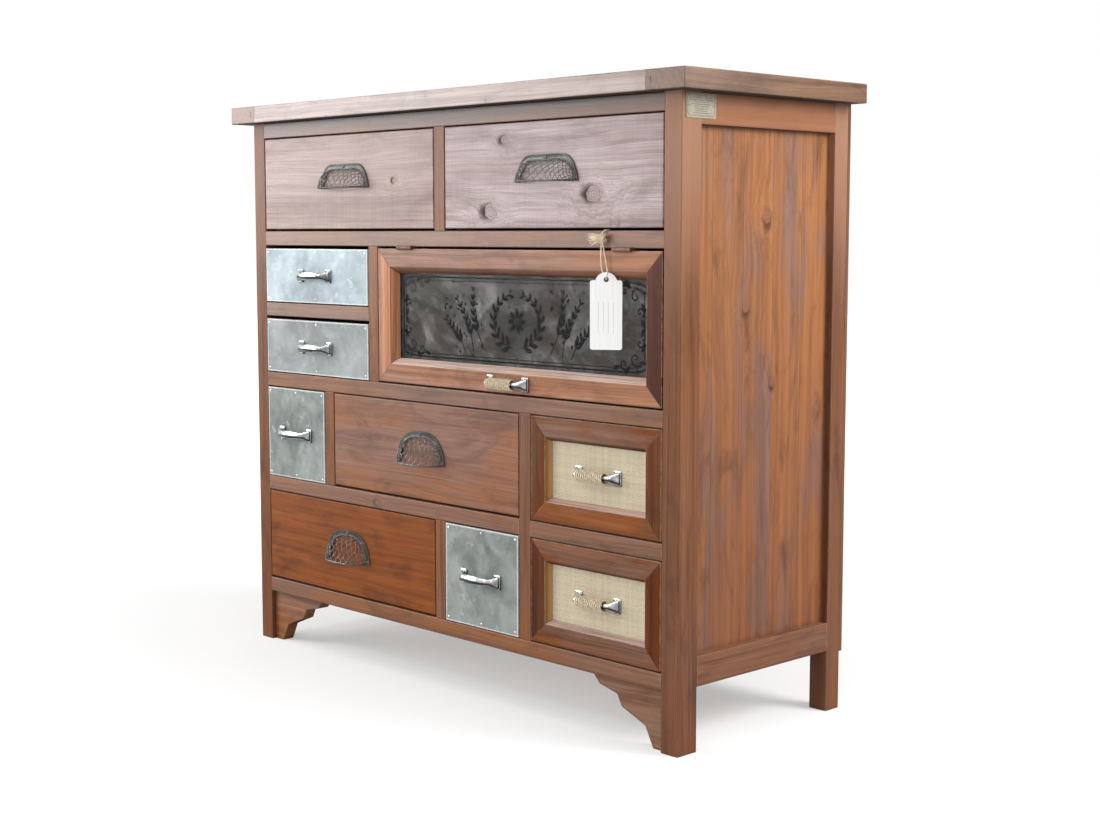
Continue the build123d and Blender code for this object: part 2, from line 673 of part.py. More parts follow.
def zinc_drawer(name, bay, above):
    """A board capped with a folded zinc sheet, and a bow pull."""
    x, z = front_limits(bay, ZINC_GAP_BELOW, above)
    core_x = (x[0] + SHEET, x[1] - SHEET)
    core_z = (z[0] + SHEET, z[1] - SHEET)
    core_y = behind(SHEET - SHEET_PROUD, FRONT_THICKNESS)
    through = behind(-2 * SHEET_PROUD, FRONT_THICKNESS)
    with BuildPart() as core:
        board(core_x, core_y, core_z)
        for hole in (-foot_x, foot_x):
            drill(bay.middle[0] + hole, (z[0] + z[1]) / 2, through, SCREW_RADIUS + SCREW_FIT)
    with BuildPart() as cap:
        board(x, behind(-SHEET_PROUD, SHEET_RETURN), z)
        fillet(cap.faces().sort_by(Axis.Y)[0].edges(), SHEET * 0.7)
        board(core_x, behind(SHEET - SHEET_PROUD, SHEET_RETURN), core_z, mode=Mode.SUBTRACT)
        for hole in (-foot_x, foot_x):
            drill(bay.middle[0] + hole, (z[0] + z[1]) / 2, through, SCREW_RADIUS + SCREW_FIT)
    place = seat(bay.middle[0], (z[0] + z[1]) / 2, -SHEET_PROUD).location
    screws = pull_screws(FRONT_THICKNESS + SHEET_PROUD)
    write_node(f"{name}_sheet", cap.part)
    write_node(f"{name}_box", core.part, *drawer_box(bay))
    write_node(f"{name}_bow_pull", bow_pull.moved(place), screws.moved(place))


def moulded_frame(x, z, thickness, flat, bead, recess, holes=()):
    """Four mitred members; the moulding falls from the flat face to the pane behind it."""
    size = (x[1] - x[0], z[1] - z[0])
    middle = ((x[0] + x[1]) / 2, (z[0] + z[1]) / 2)
    sides = [((0, -1), (1, 0), size[0]), ((1, 0), (0, 1), size[1])]
    sides += [((0, 1), (-1, 0), size[0]), ((-1, 0), (0, -1), size[1])]
    members = []
    for out, along, length in sides:
        origin = (middle[0] + out[0] * size[0] / 2, face_y, middle[1] + out[1] * size[1] / 2)
        face = Plane(origin=origin, x_dir=(along[0], 0, along[1]), z_dir=(0, -1, 0))
        width = flat + bead
        with BuildPart() as member:
            with BuildSketch(Plane(origin=origin, x_dir=face.y_dir, z_dir=face.x_dir)):
                with BuildLine():
                    Polyline((width, BEAD_LIP - recess), (width, -recess), (width - PANE_LAP, -recess))
                    Polyline((width - PANE_LAP, -recess), (width - PANE_LAP, -thickness), (0, -thickness))
                    Polyline((0, -thickness), (0, 0), (flat, 0), (flat, -BEAD_QUIRK))
                    RadiusArc((flat, -BEAD_QUIRK), (width, BEAD_LIP - recess), radius=2.2 * recess)
                make_face()
            extrude(amount=length / 2, both=True)
            with BuildSketch(face):
                with BuildLine():
                    Polyline(
                        (-length / 2, 0),
                        (length / 2, 0),
                        (length / 2 - width, width),
                        (width - length / 2, width),
                        close=True,
                    )
                make_face()
            extrude(amount=thickness, both=True, mode=Mode.INTERSECT)
            for hole_x, hole_z in holes:
                drill(hole_x, hole_z, behind(0, thickness), SCREW_RADIUS + SCREW_FIT)
        members.append(member.part)
    return members


def burlap_drawer(name, bay):
    """A moulded frame round a burlap-covered panel, with a rope-wound pull."""
    x, z = front_limits(bay, BURLAP_GAP_BELOW, BURLAP_GAP_ABOVE)
    lap = BURLAP_FLAT + BURLAP_BEAD - PANE_LAP
    with BuildPart() as panel:
        board((x[0] + lap, x[1] - lap), behind(BURLAP_RECESS, FRONT_THICKNESS), (z[0] + lap, z[1] - lap))
        for hole in (-foot_x, foot_x):
            drill(bay.middle[0] + hole, bay.middle[1], behind(0, FRONT_THICKNESS), SCREW_RADIUS + SCREW_FIT)
    place = seat(*bay.middle, BURLAP_RECESS).location
    screws = pull_screws(FRONT_THICKNESS + BOX_SIDE - BURLAP_RECESS)
    frame = moulded_frame(x, z, FRONT_THICKNESS, BURLAP_FLAT, BURLAP_BEAD, BURLAP_RECESS)
    write_node(f"{name}_frame", *frame)
    write_node(f"{name}_panel", panel.part)
    write_node(f"{name}_box", *drawer_box(bay, inner_front=True))
    write_node(f"{name}_pull", grip_pull.moved(place), screws.moved(place))
    write_node(f"{name}_rope", rope_wrap.part.moved(place))


upper_left = Bay((left_jamb, top_divider[0]), (top_floor, top_ceiling))
upper_right = Bay((top_divider[1], right_jamb), (top_floor, top_ceiling))
small_upper = Bay((left_jamb, flap_divider[0]), (small_rail_z[1], flap_ceiling))
small_lower = Bay((left_jamb, flap_divider[0]), (flap_floor, small_rail_z[0]))
flap_bay = Bay((flap_divider[1], right_jamb), (flap_floor, flap_ceiling))
tall_left = Bay((left_jamb, second_divider[0]), (second_floor, second_ceiling))
middle_bay = Bay((second_divider[1], burlap_divider[0]), (second_floor, second_ceiling))
burlap_upper = Bay((burlap_divider[1], right_jamb), (second_floor, second_ceiling))
lower_left = Bay((left_jamb, bottom_divider[0]), (bottom_floor, bottom_ceiling))
tall_low = Bay((bottom_divider[1], burlap_divider[0]), (bottom_floor, bottom_ceiling))
burlap_lower = Bay((burlap_divider[1], right_jamb), (bottom_floor, bottom_ceiling))

wood_drawer("upper_left_drawer", upper_left, wide_cup, WIDE_CUP_DROP)
wood_drawer("upper_right_drawer", upper_right, wide_cup, WIDE_CUP_DROP)
wood_drawer("middle_drawer", middle_bay, round_cup, ROUND_CUP_DROP)
wood_drawer("lower_left_drawer", lower_left, round_cup, ROUND_CUP_DROP)
zinc_drawer("small_zinc_upper", small_upper, SMALL_ZINC_GAP_ABOVE)
zinc_drawer("small_zinc_lower", small_lower, SMALL_ZINC_GAP_ABOVE)
zinc_drawer("tall_zinc_left", tall_left, ZINC_GAP_ABOVE)
zinc_drawer("tall_zinc_low", tall_low, ZINC_GAP_ABOVE)
burlap_drawer("burlap_upper", burlap_upper)
burlap_drawer("burlap_lower", burlap_lower)

# Lift-up flap: moulded frame, glass, zinc-faced backing, rope-wound pull on the lower member
flap_x = (flap_bay.x[0] + SIDE_GAP, flap_bay.x[1] - SIDE_GAP)
flap_z = (flap_floor + FLAP_GAP_BELOW, flap_ceiling - HINGE_GAP)
flap_lap = FLAP_FLAT + FLAP_BEAD - PANE_LAP
pane_x = (flap_x[0] + flap_lap, flap_x[1] - flap_lap)
pane_z = (flap_z[0] + flap_lap, flap_z[1] - flap_lap)
flap_pull_z = flap_z[0] + FLAP_FLAT / 2
flap_holes = [(flap_bay.middle[0] + hole, flap_pull_z) for hole in (-foot_x, foot_x)]
flap_seat = seat(flap_bay.middle[0], flap_pull_z).location
flap_frame = moulded_frame(flap_x, flap_z, FLAP_THICKNESS, FLAP_FLAT, FLAP_BEAD, FLAP_RECESS, flap_holes)
write_node("flap_frame", *flap_frame)
write_node("flap_glass", plain_board(pane_x, behind(FLAP_RECESS, FLAP_RECESS + GLASS), pane_z))
write_node("flap_backing", plain_board(pane_x, behind(FLAP_RECESS + GLASS, FLAP_THICKNESS), pane_z))
write_node("flap_pull", grip_pull.moved(flap_seat), pull_screws(FLAP_THICKNESS).moved(flap_seat))
write_node("flap_rope", rope_wrap.part.moved(flap_seat))

# Butt hinges: knuckles just in front of the flap, one leaf on the rail, one on the flap
pivot_y = face_y - KNUCKLE_RADIUS - HINGE_PLAY
pivot_z = flap_ceiling - HINGE_GAP / 2
third = HINGE_LENGTH / 3
leaf_y = (face_y + HINGE_PLAY, face_y + LEAF_WIDTH)
tab_y = (pivot_y + KNUCKLE_RADIUS * 0.72, face_y + HINGE_PLAY)
fixed_z = (flap_ceiling - LEAF, flap_ceiling)
moving_z = (flap_z[1], flap_z[1] + LEAF)


def leaf(middle, barrels, z):
    """A leaf plate with the given knuckle spans, as distances from the middle of the hinge."""
    with BuildPart() as plate:
        board((middle - HINGE_LENGTH / 2, middle + HINGE_LENGTH / 2), leaf_y, z)
        for span in barrels:
            board((middle + span[0], middle + span[1]), tab_y, z)
            with Locations((middle + (span[0] + span[1]) / 2, pivot_y, pivot_z)):
                Cylinder(KNUCKLE_RADIUS, span[1] - span[0], rotation=(0, 90, 0))
        with Locations((middle, pivot_y, pivot_z)):
            Cylinder(PIN_RADIUS + PIN_FIT, HINGE_LENGTH, rotation=(0, 90, 0), mode=Mode.SUBTRACT)
    return plate.part


def hinge_pin(middle):
    with BuildPart() as pin:
        with Locations((middle, pivot_y, pivot_z)):
            Cylinder(PIN_RADIUS, HINGE_LENGTH, rotation=(0, 90, 0))
    return pin.part


outer_barrels = [(-HINGE_LENGTH / 2, -third / 2 - HINGE_PLAY), (third / 2 + HINGE_PLAY, HINGE_LENGTH / 2)]
hinges = (flap_x[0] + HINGE_INSET, flap_x[1] - HINGE_INSET)
fixed_leaves = [leaf(middle, outer_barrels, fixed_z) for middle in hinges]
write_node("flap_hinge_fixed_leaves", *fixed_leaves, *[hinge_pin(middle) for middle in hinges])
inner_barrel = [(-third / 2, third / 2)]
write_node("flap_hinge_moving_leaves", *[leaf(middle, inner_barrel, moving_z) for middle in hinges])

# Small plate on the right side, near the top of the front post
with BuildPart() as side_plate:
    plate_y = behind(PLATE_INSET, PLATE_INSET + PLATE_WIDTH)
    plate_z = (carcass_top - PLATE_DROP - PLATE_HEIGHT, carcass_top - PLATE_DROP)
    board((right_face, right_face + PLATE_THICKNESS), plate_y, plate_z)
    fillet(side_plate.edges().filter_by(Axis.X), 2 * PLATE_THICKNESS)
write_node("side_plate", side_plate.part)

# Hang tag, turned a little towards the right, on a folded length of twine with a knot
tag_along = Vector(cos(radians(TAG_YAW)), sin(radians(TAG_YAW)), 0)
tag_out = Vector(sin(radians(TAG_YAW)), -cos(radians(TAG_YAW)), 0)
tag_hole = Vector(TAG_X, face_y - TAG_SET_OUT, flap_ceiling - TAG_DROP)
head_centre = TAG_HEAD_RISE - TAG_SHOULDER - TAG_HEAD
with BuildPart() as hang_tag:
    with BuildSketch(Plane(origin=tag_hole - tag_out * TAG_THICKNESS / 2, x_dir=tag_along, z_dir=tag_out)):
        with Locations((0, -TAG_SHOULDER - TAG_HEIGHT / 2)):
            RectangleRounded(TAG_WIDTH, TAG_HEIGHT, TAG_CORNER)
        with Locations((0, head_centre)):
            Circle(TAG_HEAD)
        Circle(TAG_HOLE, mode=Mode.SUBTRACT)
    extrude(amount=TAG_THICKNESS)
write_node("hang_tag", hang_tag.part)

knot = tag_hole - tag_along * KNOT_LEAN + Vector(0, 0, TAG_DROP + KNOT_RISE)
knot = Vector(knot.X, face_y - KNOT_RADIUS - HINGE_PLAY, knot.Z)
twine_points = [
    knot + tag_out * KNOT_SPREAD,
    tag_hole + tag_out * TWINE_SPREAD,
    tag_hole - tag_out * TWINE_SPREAD,
    knot - tag_out * KNOT_SPREAD,
]
fold_radius = 0.8 * TWINE_SPREAD
with BuildPart() as tag_twine:
    with BuildLine() as twine_path:
        FilletPolyline(*twine_points, radius=fold_radius)
    with BuildSketch(Plane(origin=twine_points[0], z_dir=twine_points[1] - twine_points[0])):
        Circle(TWINE_RADIUS)
    sweep()
    twine_volume = tag_twine.part.volume
    with Locations(knot):
        Sphere(KNOT_RADIUS, rotation=(90, 0, 0))
write_node("tag_twine", tag_twine.part)
twine_length = twine_path.wire().length
print("twine length", round(twine_length, 1), "fold radius", fold_radius)
print("twine volume over section times length", twine_volume / (pi * TWINE_RADIUS**2 * twine_length))

# Tail of the twine, from the knot over the top edge of the rail into the gap below the drawer
tail_points = [
    (knot.X, knot.Y, knot.Z + KNOT_RADIUS + HINGE_PLAY),
    (knot.X + 0.6, face_y - 3.2, top_floor + TWINE_RADIUS + HINGE_PLAY),
    (knot.X + 1.8, face_y + 7, top_floor + TWINE_RADIUS + HINGE_PLAY),
]
tail_radius = 2.8 * TWINE_RADIUS
with BuildPart() as tag_tail:
    with BuildLine() as tail_path:
        FilletPolyline(*tail_points, radius=tail_radius)
    with BuildSketch(Plane(origin=tail_points[0], z_dir=Vector(*tail_points[1]) - Vector(*tail_points[0]))):
        Circle(TWINE_RADIUS)
    sweep()
write_node("tag_tail", tag_tail.part)
print("tail length", round(tail_path.wire().length, 1), "bend radius", tail_radius)
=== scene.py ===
import math

import bmesh
import bpy
import numpy as np
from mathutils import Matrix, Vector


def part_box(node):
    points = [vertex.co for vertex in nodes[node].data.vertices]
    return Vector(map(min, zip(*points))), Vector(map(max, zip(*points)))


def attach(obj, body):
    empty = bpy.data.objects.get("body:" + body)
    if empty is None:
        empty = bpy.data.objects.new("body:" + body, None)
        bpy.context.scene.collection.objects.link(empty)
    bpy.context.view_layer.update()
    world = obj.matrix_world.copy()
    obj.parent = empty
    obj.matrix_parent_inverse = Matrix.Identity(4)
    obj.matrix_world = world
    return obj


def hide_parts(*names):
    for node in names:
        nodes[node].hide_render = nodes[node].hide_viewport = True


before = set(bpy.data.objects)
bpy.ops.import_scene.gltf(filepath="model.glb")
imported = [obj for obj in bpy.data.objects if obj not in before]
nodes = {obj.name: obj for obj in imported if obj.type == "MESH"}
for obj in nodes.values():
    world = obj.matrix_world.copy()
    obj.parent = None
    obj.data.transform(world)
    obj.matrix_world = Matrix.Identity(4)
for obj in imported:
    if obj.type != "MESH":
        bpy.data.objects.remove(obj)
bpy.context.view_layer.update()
mm = 0.001
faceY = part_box("front_rails")[0][1]  # front plane of the face frame
panelDepth = 9.5 * mm  # burlap panels lie this far behind it
scene = bpy.context.scene
scene.view_settings.view_transform = "Standard"
print("frame loaded:", len(nodes), "nodes")

# camera where the photograph was taken from
photoView = dict(place=(1.7344, faceY - 1.46045, 0.6135), lens=55.77, sensor=36.0, turn=0.8065, pitch=-0.1039)
cameraData = bpy.data.cameras.new("photoCamera")
cameraData.lens, cameraData.sensor_width = photoView["lens"], photoView["sensor"]
cameraData.sensor_fit = "HORIZONTAL"
camera = bpy.data.objects.new("photoCamera", cameraData)
camera.location = photoView["place"]
camera.rotation_euler = (math.pi / 2 + photoView["pitch"], 0.0, photoView["turn"])
scene.collection.objects.link(camera)
scene.camera = camera


def gridQuads(rows, columns):
    # corner numbers of every cell of a rows by columns grid of points
    corner = np.arange(rows * columns).reshape(rows, columns)
    cells = [corner[:-1, :-1], corner[1:, :-1], corner[1:, 1:], corner[:-1, 1:]]
    return np.stack(cells, axis=-1).reshape(-1, 4)


def surfacePiece(name, grids, finishes, closed=True, sharp=35.0):
    # joins grids of points, (rows, columns, 3) or stacks of them, into one mesh; a grid may come
    # with the number of its finish; edges and poles that meet are merged, shells face outwards
    points, quads, paint, start = [], [], [], 0
    for entry in grids:
        grid, finishNumber = entry if isinstance(entry, tuple) else (entry, 0)
        stack = grid.reshape((-1,) + grid.shape[-3:])
        count, rows, columns = stack.shape[:3]
        shift = start + np.arange(count) * rows * columns
        cells = (gridQuads(rows, columns)[None] + shift[:, None, None]).reshape(-1, 4)
        quads.append(cells)
        paint.append(np.full(len(cells), finishNumber))
        points.append(stack.reshape(-1, 3))
        start += count * rows * columns
    points, quads, paint = np.concatenate(points), np.concatenate(quads), np.concatenate(paint)
    mesh = bpy.data.meshes.new(name)
    mesh.vertices.add(len(points))
    mesh.vertices.foreach_set("co", points.astype(np.float32).ravel())
    mesh.loops.add(quads.size)
    mesh.loops.foreach_set("vertex_index", quads.astype(np.int32).ravel())
    mesh.polygons.add(len(quads))
    mesh.polygons.foreach_set("loop_start", np.arange(0, quads.size, 4, dtype=np.int32))
    mesh.polygons.foreach_set("material_index", paint.astype(np.int32))
    mesh.update(calc_edges=True)
    tidy = bmesh.new()
    tidy.from_mesh(mesh)
    bmesh.ops.remove_doubles(tidy, verts=tidy.verts, dist=2e-7)
    if closed:
        bmesh.ops.recalc_face_normals(tidy, faces=tidy.faces)
    tidy.to_mesh(mesh)
    tidy.free()
    mesh.polygons.foreach_set("use_smooth", np.ones(len(mesh.polygons), dtype=bool))
    mesh.set_sharp_from_angle(angle=math.radians(sharp))
    for finish in finishes if isinstance(finishes, list) else [finishes]:
        mesh.materials.append(finish)
    piece = bpy.data.objects.new(name, mesh)
    scene.collection.objects.link(piece)
    return piece


def seatPiece(piece, body, slot, *replaced):
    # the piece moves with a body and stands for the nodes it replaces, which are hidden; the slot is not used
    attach(piece, body)
    if replaced:
        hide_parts(*replaced)
    return piece


def boxOf(node):
    # middle and half size of a node's box
    lo, hi = np.array(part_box(node), dtype=float)
    return (lo + hi) / 2, (hi - lo) / 2


def together(*parts):
    # separate coordinates as one array of points
    return np.stack(np.broadcast_arrays(*parts), axis=-1)


def unit(vectors):
    # each vector over its own length
    return vectors / np.linalg.norm(vectors, axis=-1, keepdims=True)


def fullTurn(steps):
    # angles once round in even steps; the last one is the first again, so that a ring closes
    angle = np.linspace(0, 2 * np.pi, steps + 1)
    angle[-1] = 0.0
    return angle


def boxedRing(angle, power):
    # a round ring pressed towards a box: (cos a)^p across and (sin a)^p up, each with its sign
    c, s = np.cos(angle), np.sin(angle)
    return np.sign(c) * np.abs(c) ** power, np.sign(s) * np.abs(s) ** power


def tubes(paths, radius, sides=6, guide=(0.13, 0.21, 0.97)):
    # a round profile carried along each path: centre + radius (cos a, sin a) in the two directions
    # square to the path that a guide direction gives; both ends close to a point
    paths = np.asarray(paths, dtype=float)
    paths = paths.reshape((-1,) + paths.shape[-2:])
    way = unit(np.gradient(paths, axis=1))
    side = unit(np.cross(way, np.broadcast_to(guide, way.shape)))
    up = np.cross(side, way)
    angle = fullTurn(sides)
    size = np.broadcast_to(radius, paths.shape[:2])[..., None, None]
    turn = np.cos(angle)[:, None] * side[:, :, None] + np.sin(angle)[:, None] * up[:, :, None]
    rings = paths[:, :, None] + size * turn
    tips = np.broadcast_to(paths[:, [0, -1], None], (len(paths), 2, sides + 1, 3))
    return np.concatenate([tips[:, :1], rings, tips[:, 1:]], axis=1)


def smoothPath(knots, steps):
    # a curve through every knot: each span is a cubic whose end slopes are half the step
    # between the knots on either side
    knots = np.asarray(knots, dtype=float)
    slope = np.gradient(knots, axis=0)
    t = np.linspace(0, len(knots) - 1, steps)
    span = np.minimum(t.astype(int), len(knots) - 2)
    u = (t - span)[:, None]
    start = (2 * u**3 - 3 * u**2 + 1) * knots[span] + (u**3 - 2 * u**2 + u) * slope[span]
    return start + (3 * u**2 - 2 * u**3) * knots[span + 1] + (u**3 - u**2) * slope[span + 1]


def domes(centres, radius, height, slotWidth=0.0, sides=16, rings=5):
    # round heads facing the front: at radius r the surface stands height (1 - (r / R)^2)^0.6 out
    # on a rim of a quarter of that height, half lower in a straight slot; a flat base closes each
    share = np.concatenate([np.linspace(0, 1, rings + 1), [1.0, 0.0]])[:, None]
    angle, ring = fullTurn(sides), np.arange(rings + 3)[:, None]
    across, up = radius * share * np.cos(angle), radius * share * np.sin(angle)
    out = height * (1 - np.minimum(share, 1) ** 2) ** 0.6 + 0.25 * height * (ring <= rings)
    out = out - 0.5 * height * (np.abs(up) < slotWidth / 2) * (ring < rings)
    out[-2:] = 0.0
    shape = together(across, -out, up)
    return np.asarray(centres, dtype=float)[:, None, None] + shape


def mathsNode(operation):
    # an operator for readings that adds a Math node
    return lambda reading, *others: reading.graph.maths(operation, reading, *others)


class Reading:
    # one output of a finish's nodes; arithmetic with it adds the nodes that work it out
    __add__ = __radd__ = mathsNode("ADD")
    __mul__ = __rmul__ = mathsNode("MULTIPLY")
    __sub__, __truediv__, __abs__ = mathsNode("SUBTRACT"), mathsNode("DIVIDE"), mathsNode("ABSOLUTE")
    __lt__, __gt__ = mathsNode("LESS_THAN"), mathsNode("GREATER_THAN")

    def __init__(self, graph, socket):
        self.graph, self.socket = graph, socket

    def __rsub__(self, other):
        return self.graph.maths("SUBTRACT", other, self)


class FinishGraph:
    # the nodes of one finish; a reading given as an input is linked, anything else is set on it
    def __init__(self, name, isWorld=False):
        self.owner = (bpy.data.worlds if isWorld else bpy.data.materials).new(name)
        self.owner.use_nodes = True
        self.tree = self.owner.node_tree
        self.tree.nodes.clear()
        if not isWorld:
            self.place = self.add("TexCoord", out="Object")
            self.x, self.y, self.z = self.parts(self.place)

    def add(self, kind, inputs=None, out=0, **settings):
        node = self.tree.nodes.new("ShaderNode" + kind)
        for key, value in settings.items():
            setattr(node, key, value)
        for key, value in (inputs or {}).items():
            if isinstance(value, Reading):
                self.tree.links.new(value.socket, node.inputs[key])
            else:
                node.inputs[key].default_value = value
        return Reading(self, node.outputs[out]) if len(node.outputs) else None

    def maths(self, operation, *values):
        return self.add("Math", dict(enumerate(values)), operation=operation)

    def larger(self, a, b):
        return self.maths("MAXIMUM", a, b)

    def vector(self, x, y, z=0.0):
        return self.add("CombineXYZ", {0: x, 1: y, 2: z})

    def parts(self, vector):
        split = self.add("SeparateXYZ", {0: vector}).socket.node
        return [Reading(self, socket) for socket in split.outputs]

    def facing(self):
        # the three parts of the direction the surface looks in
        return self.parts(self.add("TexCoord", out="Normal"))

    def length(self, vector):
        return self.add("VectorMath", {0: vector}, "Value", operation="LENGTH")

    def noise(self, vector, detail=3.0, rough=0.55, swirl=0.0):
        inputs = {"Vector": vector, "Scale": 1.0, "Detail": detail, "Roughness": rough, "Distortion": swirl}
        return self.add("TexNoise", inputs, "Fac")

    def speckle(self, scale, **how):
        # noise in the object's own place, to one scale or to one for each direction
        scales = scale if isinstance(scale, tuple) else (scale, scale, scale)
        return self.noise(self.add("Mapping", {"Vector": self.place, "Scale": scales}), **how)

    def chance(self, number):
        # a value from 0 to 1 that goes with a whole number
        return self.add("TexWhiteNoise", {"W": number}, "Value", noise_dimensions="1D")

    def remap(self, value, low, high, outLow=0.0, outHigh=1.0):
        inputs = {0: value, 1: low, 2: high, 3: outLow, 4: outHigh}
        return self.add("MapRange", inputs, interpolation_type="SMOOTHSTEP")

    def fall(self, value, low, high, share=1.0):
        # a share up to the low value, none past the high one
        return self.remap(value, low, high, share, 0.0)

    def blend(self, factor, a, b):
        return self.add("Mix", {0: factor, 2: a, 3: b}, data_type="FLOAT")

    def mix(self, factor, a, b, way="MIX"):
        a, b = (tone if isinstance(tone, Reading) else (*tone, 1.0) for tone in (a, b))
        return self.add("Mix", {0: factor, 6: a, 7: b}, 2, data_type="RGBA", blend_type=way)

    def tinted(self, factor, colour, tint):
        return self.mix(factor, colour, self.mix(1.0, colour, tint, "MULTIPLY"))

    def ramp(self, value, *stops):
        colour = self.add("ValToRGB", {0: value})
        elements = colour.socket.node.color_ramp.elements
        while len(elements) < len(stops):
            elements.new(0.5)
        for element, (at, tone) in zip(elements, stops):
            element.position = at
            element.color = (*tone, 1.0)
        return colour

    def edges(self, radius, low=0.02, high=0.3):
        # how far the rounded normal near an edge turns away from the true one
        self.rounded = self.add("Bevel", {"Radius": radius}, samples=4)
        self.straight = self.add("NewGeometry", out="Normal")
        same = self.add("VectorMath", {0: self.rounded, 1: self.straight}, "Value", operation="DOT_PRODUCT")
        return self.remap(1.0 - same, low, high)

    def underEdges(self, low=0.1, high=0.5):
        # of those edges, the ones where the rounded normal leans down from the true one
        lean = self.add("VectorMath", {0: self.straight, 1: self.rounded}, operation="SUBTRACT")
        own = self.add("VectorTransform", {0: lean}, convert_from="WORLD", convert_to="OBJECT")
        return self.remap(self.parts(own)[2], low, high)

    def seenDirectly(self):
        # one where the camera looks, straight, in a mirror or through glass, zero for light on the object
        path = self.add("LightPath").socket.node.outputs
        rays = [Reading(self, path["Is " + kind + " Ray"]) for kind in ("Camera", "Glossy", "Transmission")]
        return self.larger(self.larger(rays[0], rays[1]), rays[2])

    def bump(self, height, strength, distance):
        return self.add("Bump", {"Height": height, "Strength": strength, "Distance": distance})

    def surface(self, **inputs):
        named = {key.replace("_", " "): value for key, value in inputs.items()}
        self.add("OutputMaterial", {"Surface": self.add("BsdfPrincipled", named)})
        return self.owner


def shades(tone, share):
    # a tone made darker, or lighter up to white
    return tuple(min(1.0, share * part) for part in tone)


# stained pine: each tone is a middle colour and how far late and early wood spread about it
pineLook = dict(
    grain="x", turnsTo=None, turnsWhere=None,  # way of the grain, and where a frame or top turns it
    warm=((0.205, 0.062, 0.015), 0.28), cool=((0.17, 0.074, 0.04), 0.3), greyed=0.55, seed=0.0,
    coarse=105.0, stripe=0.5, lines=0.32, blotch=0.56, relief=0.22, saw=0.0, planks=0.0,
    knots=[], knotDepth=0.8,  # each knot: along the grain, across it, radius
    turnedShade=None, paintedLightAbove=None, lift=None, grimeAndShade=None,  # tints by board, partly painted light and shade; painted light and shade by height
    paintedLightFacingRight=None, under=0.75, upper=None, shaded=0.75, dustAndSheen=0.0,  # and painted light and shade by the way a face looks
    wear=0.55, wornTone=(0.44, 0.28, 0.2), roughness=0.32, shine=0.08,
)
pineTones = dict(
    line=(0.05, 0.02, 0.012), blotch=(0.045, 0.016, 0.008), grimeAndShade=(0.03, 0.012, 0.008),
    shadow=(0.02, 0.008, 0.005), kerf=(0.08, 0.05, 0.045), dustAndSheen=(0.55, 0.44, 0.385),
    halo=(0.025, 0.014, 0.011), knotRing=(0.05, 0.03, 0.024),
)


def toneSet(middle, spread):
    # late wood, darker and a little redder; the middle colour; early wood, lighter and a little greyer
    r, g, b = middle
    low, high = 1.0 - spread, 1.0 + 0.85 * spread
    return [(r * low, g * low * 0.94, b * low * 0.9), middle, (r * high, g * high * 1.04, b * high * 1.08)]


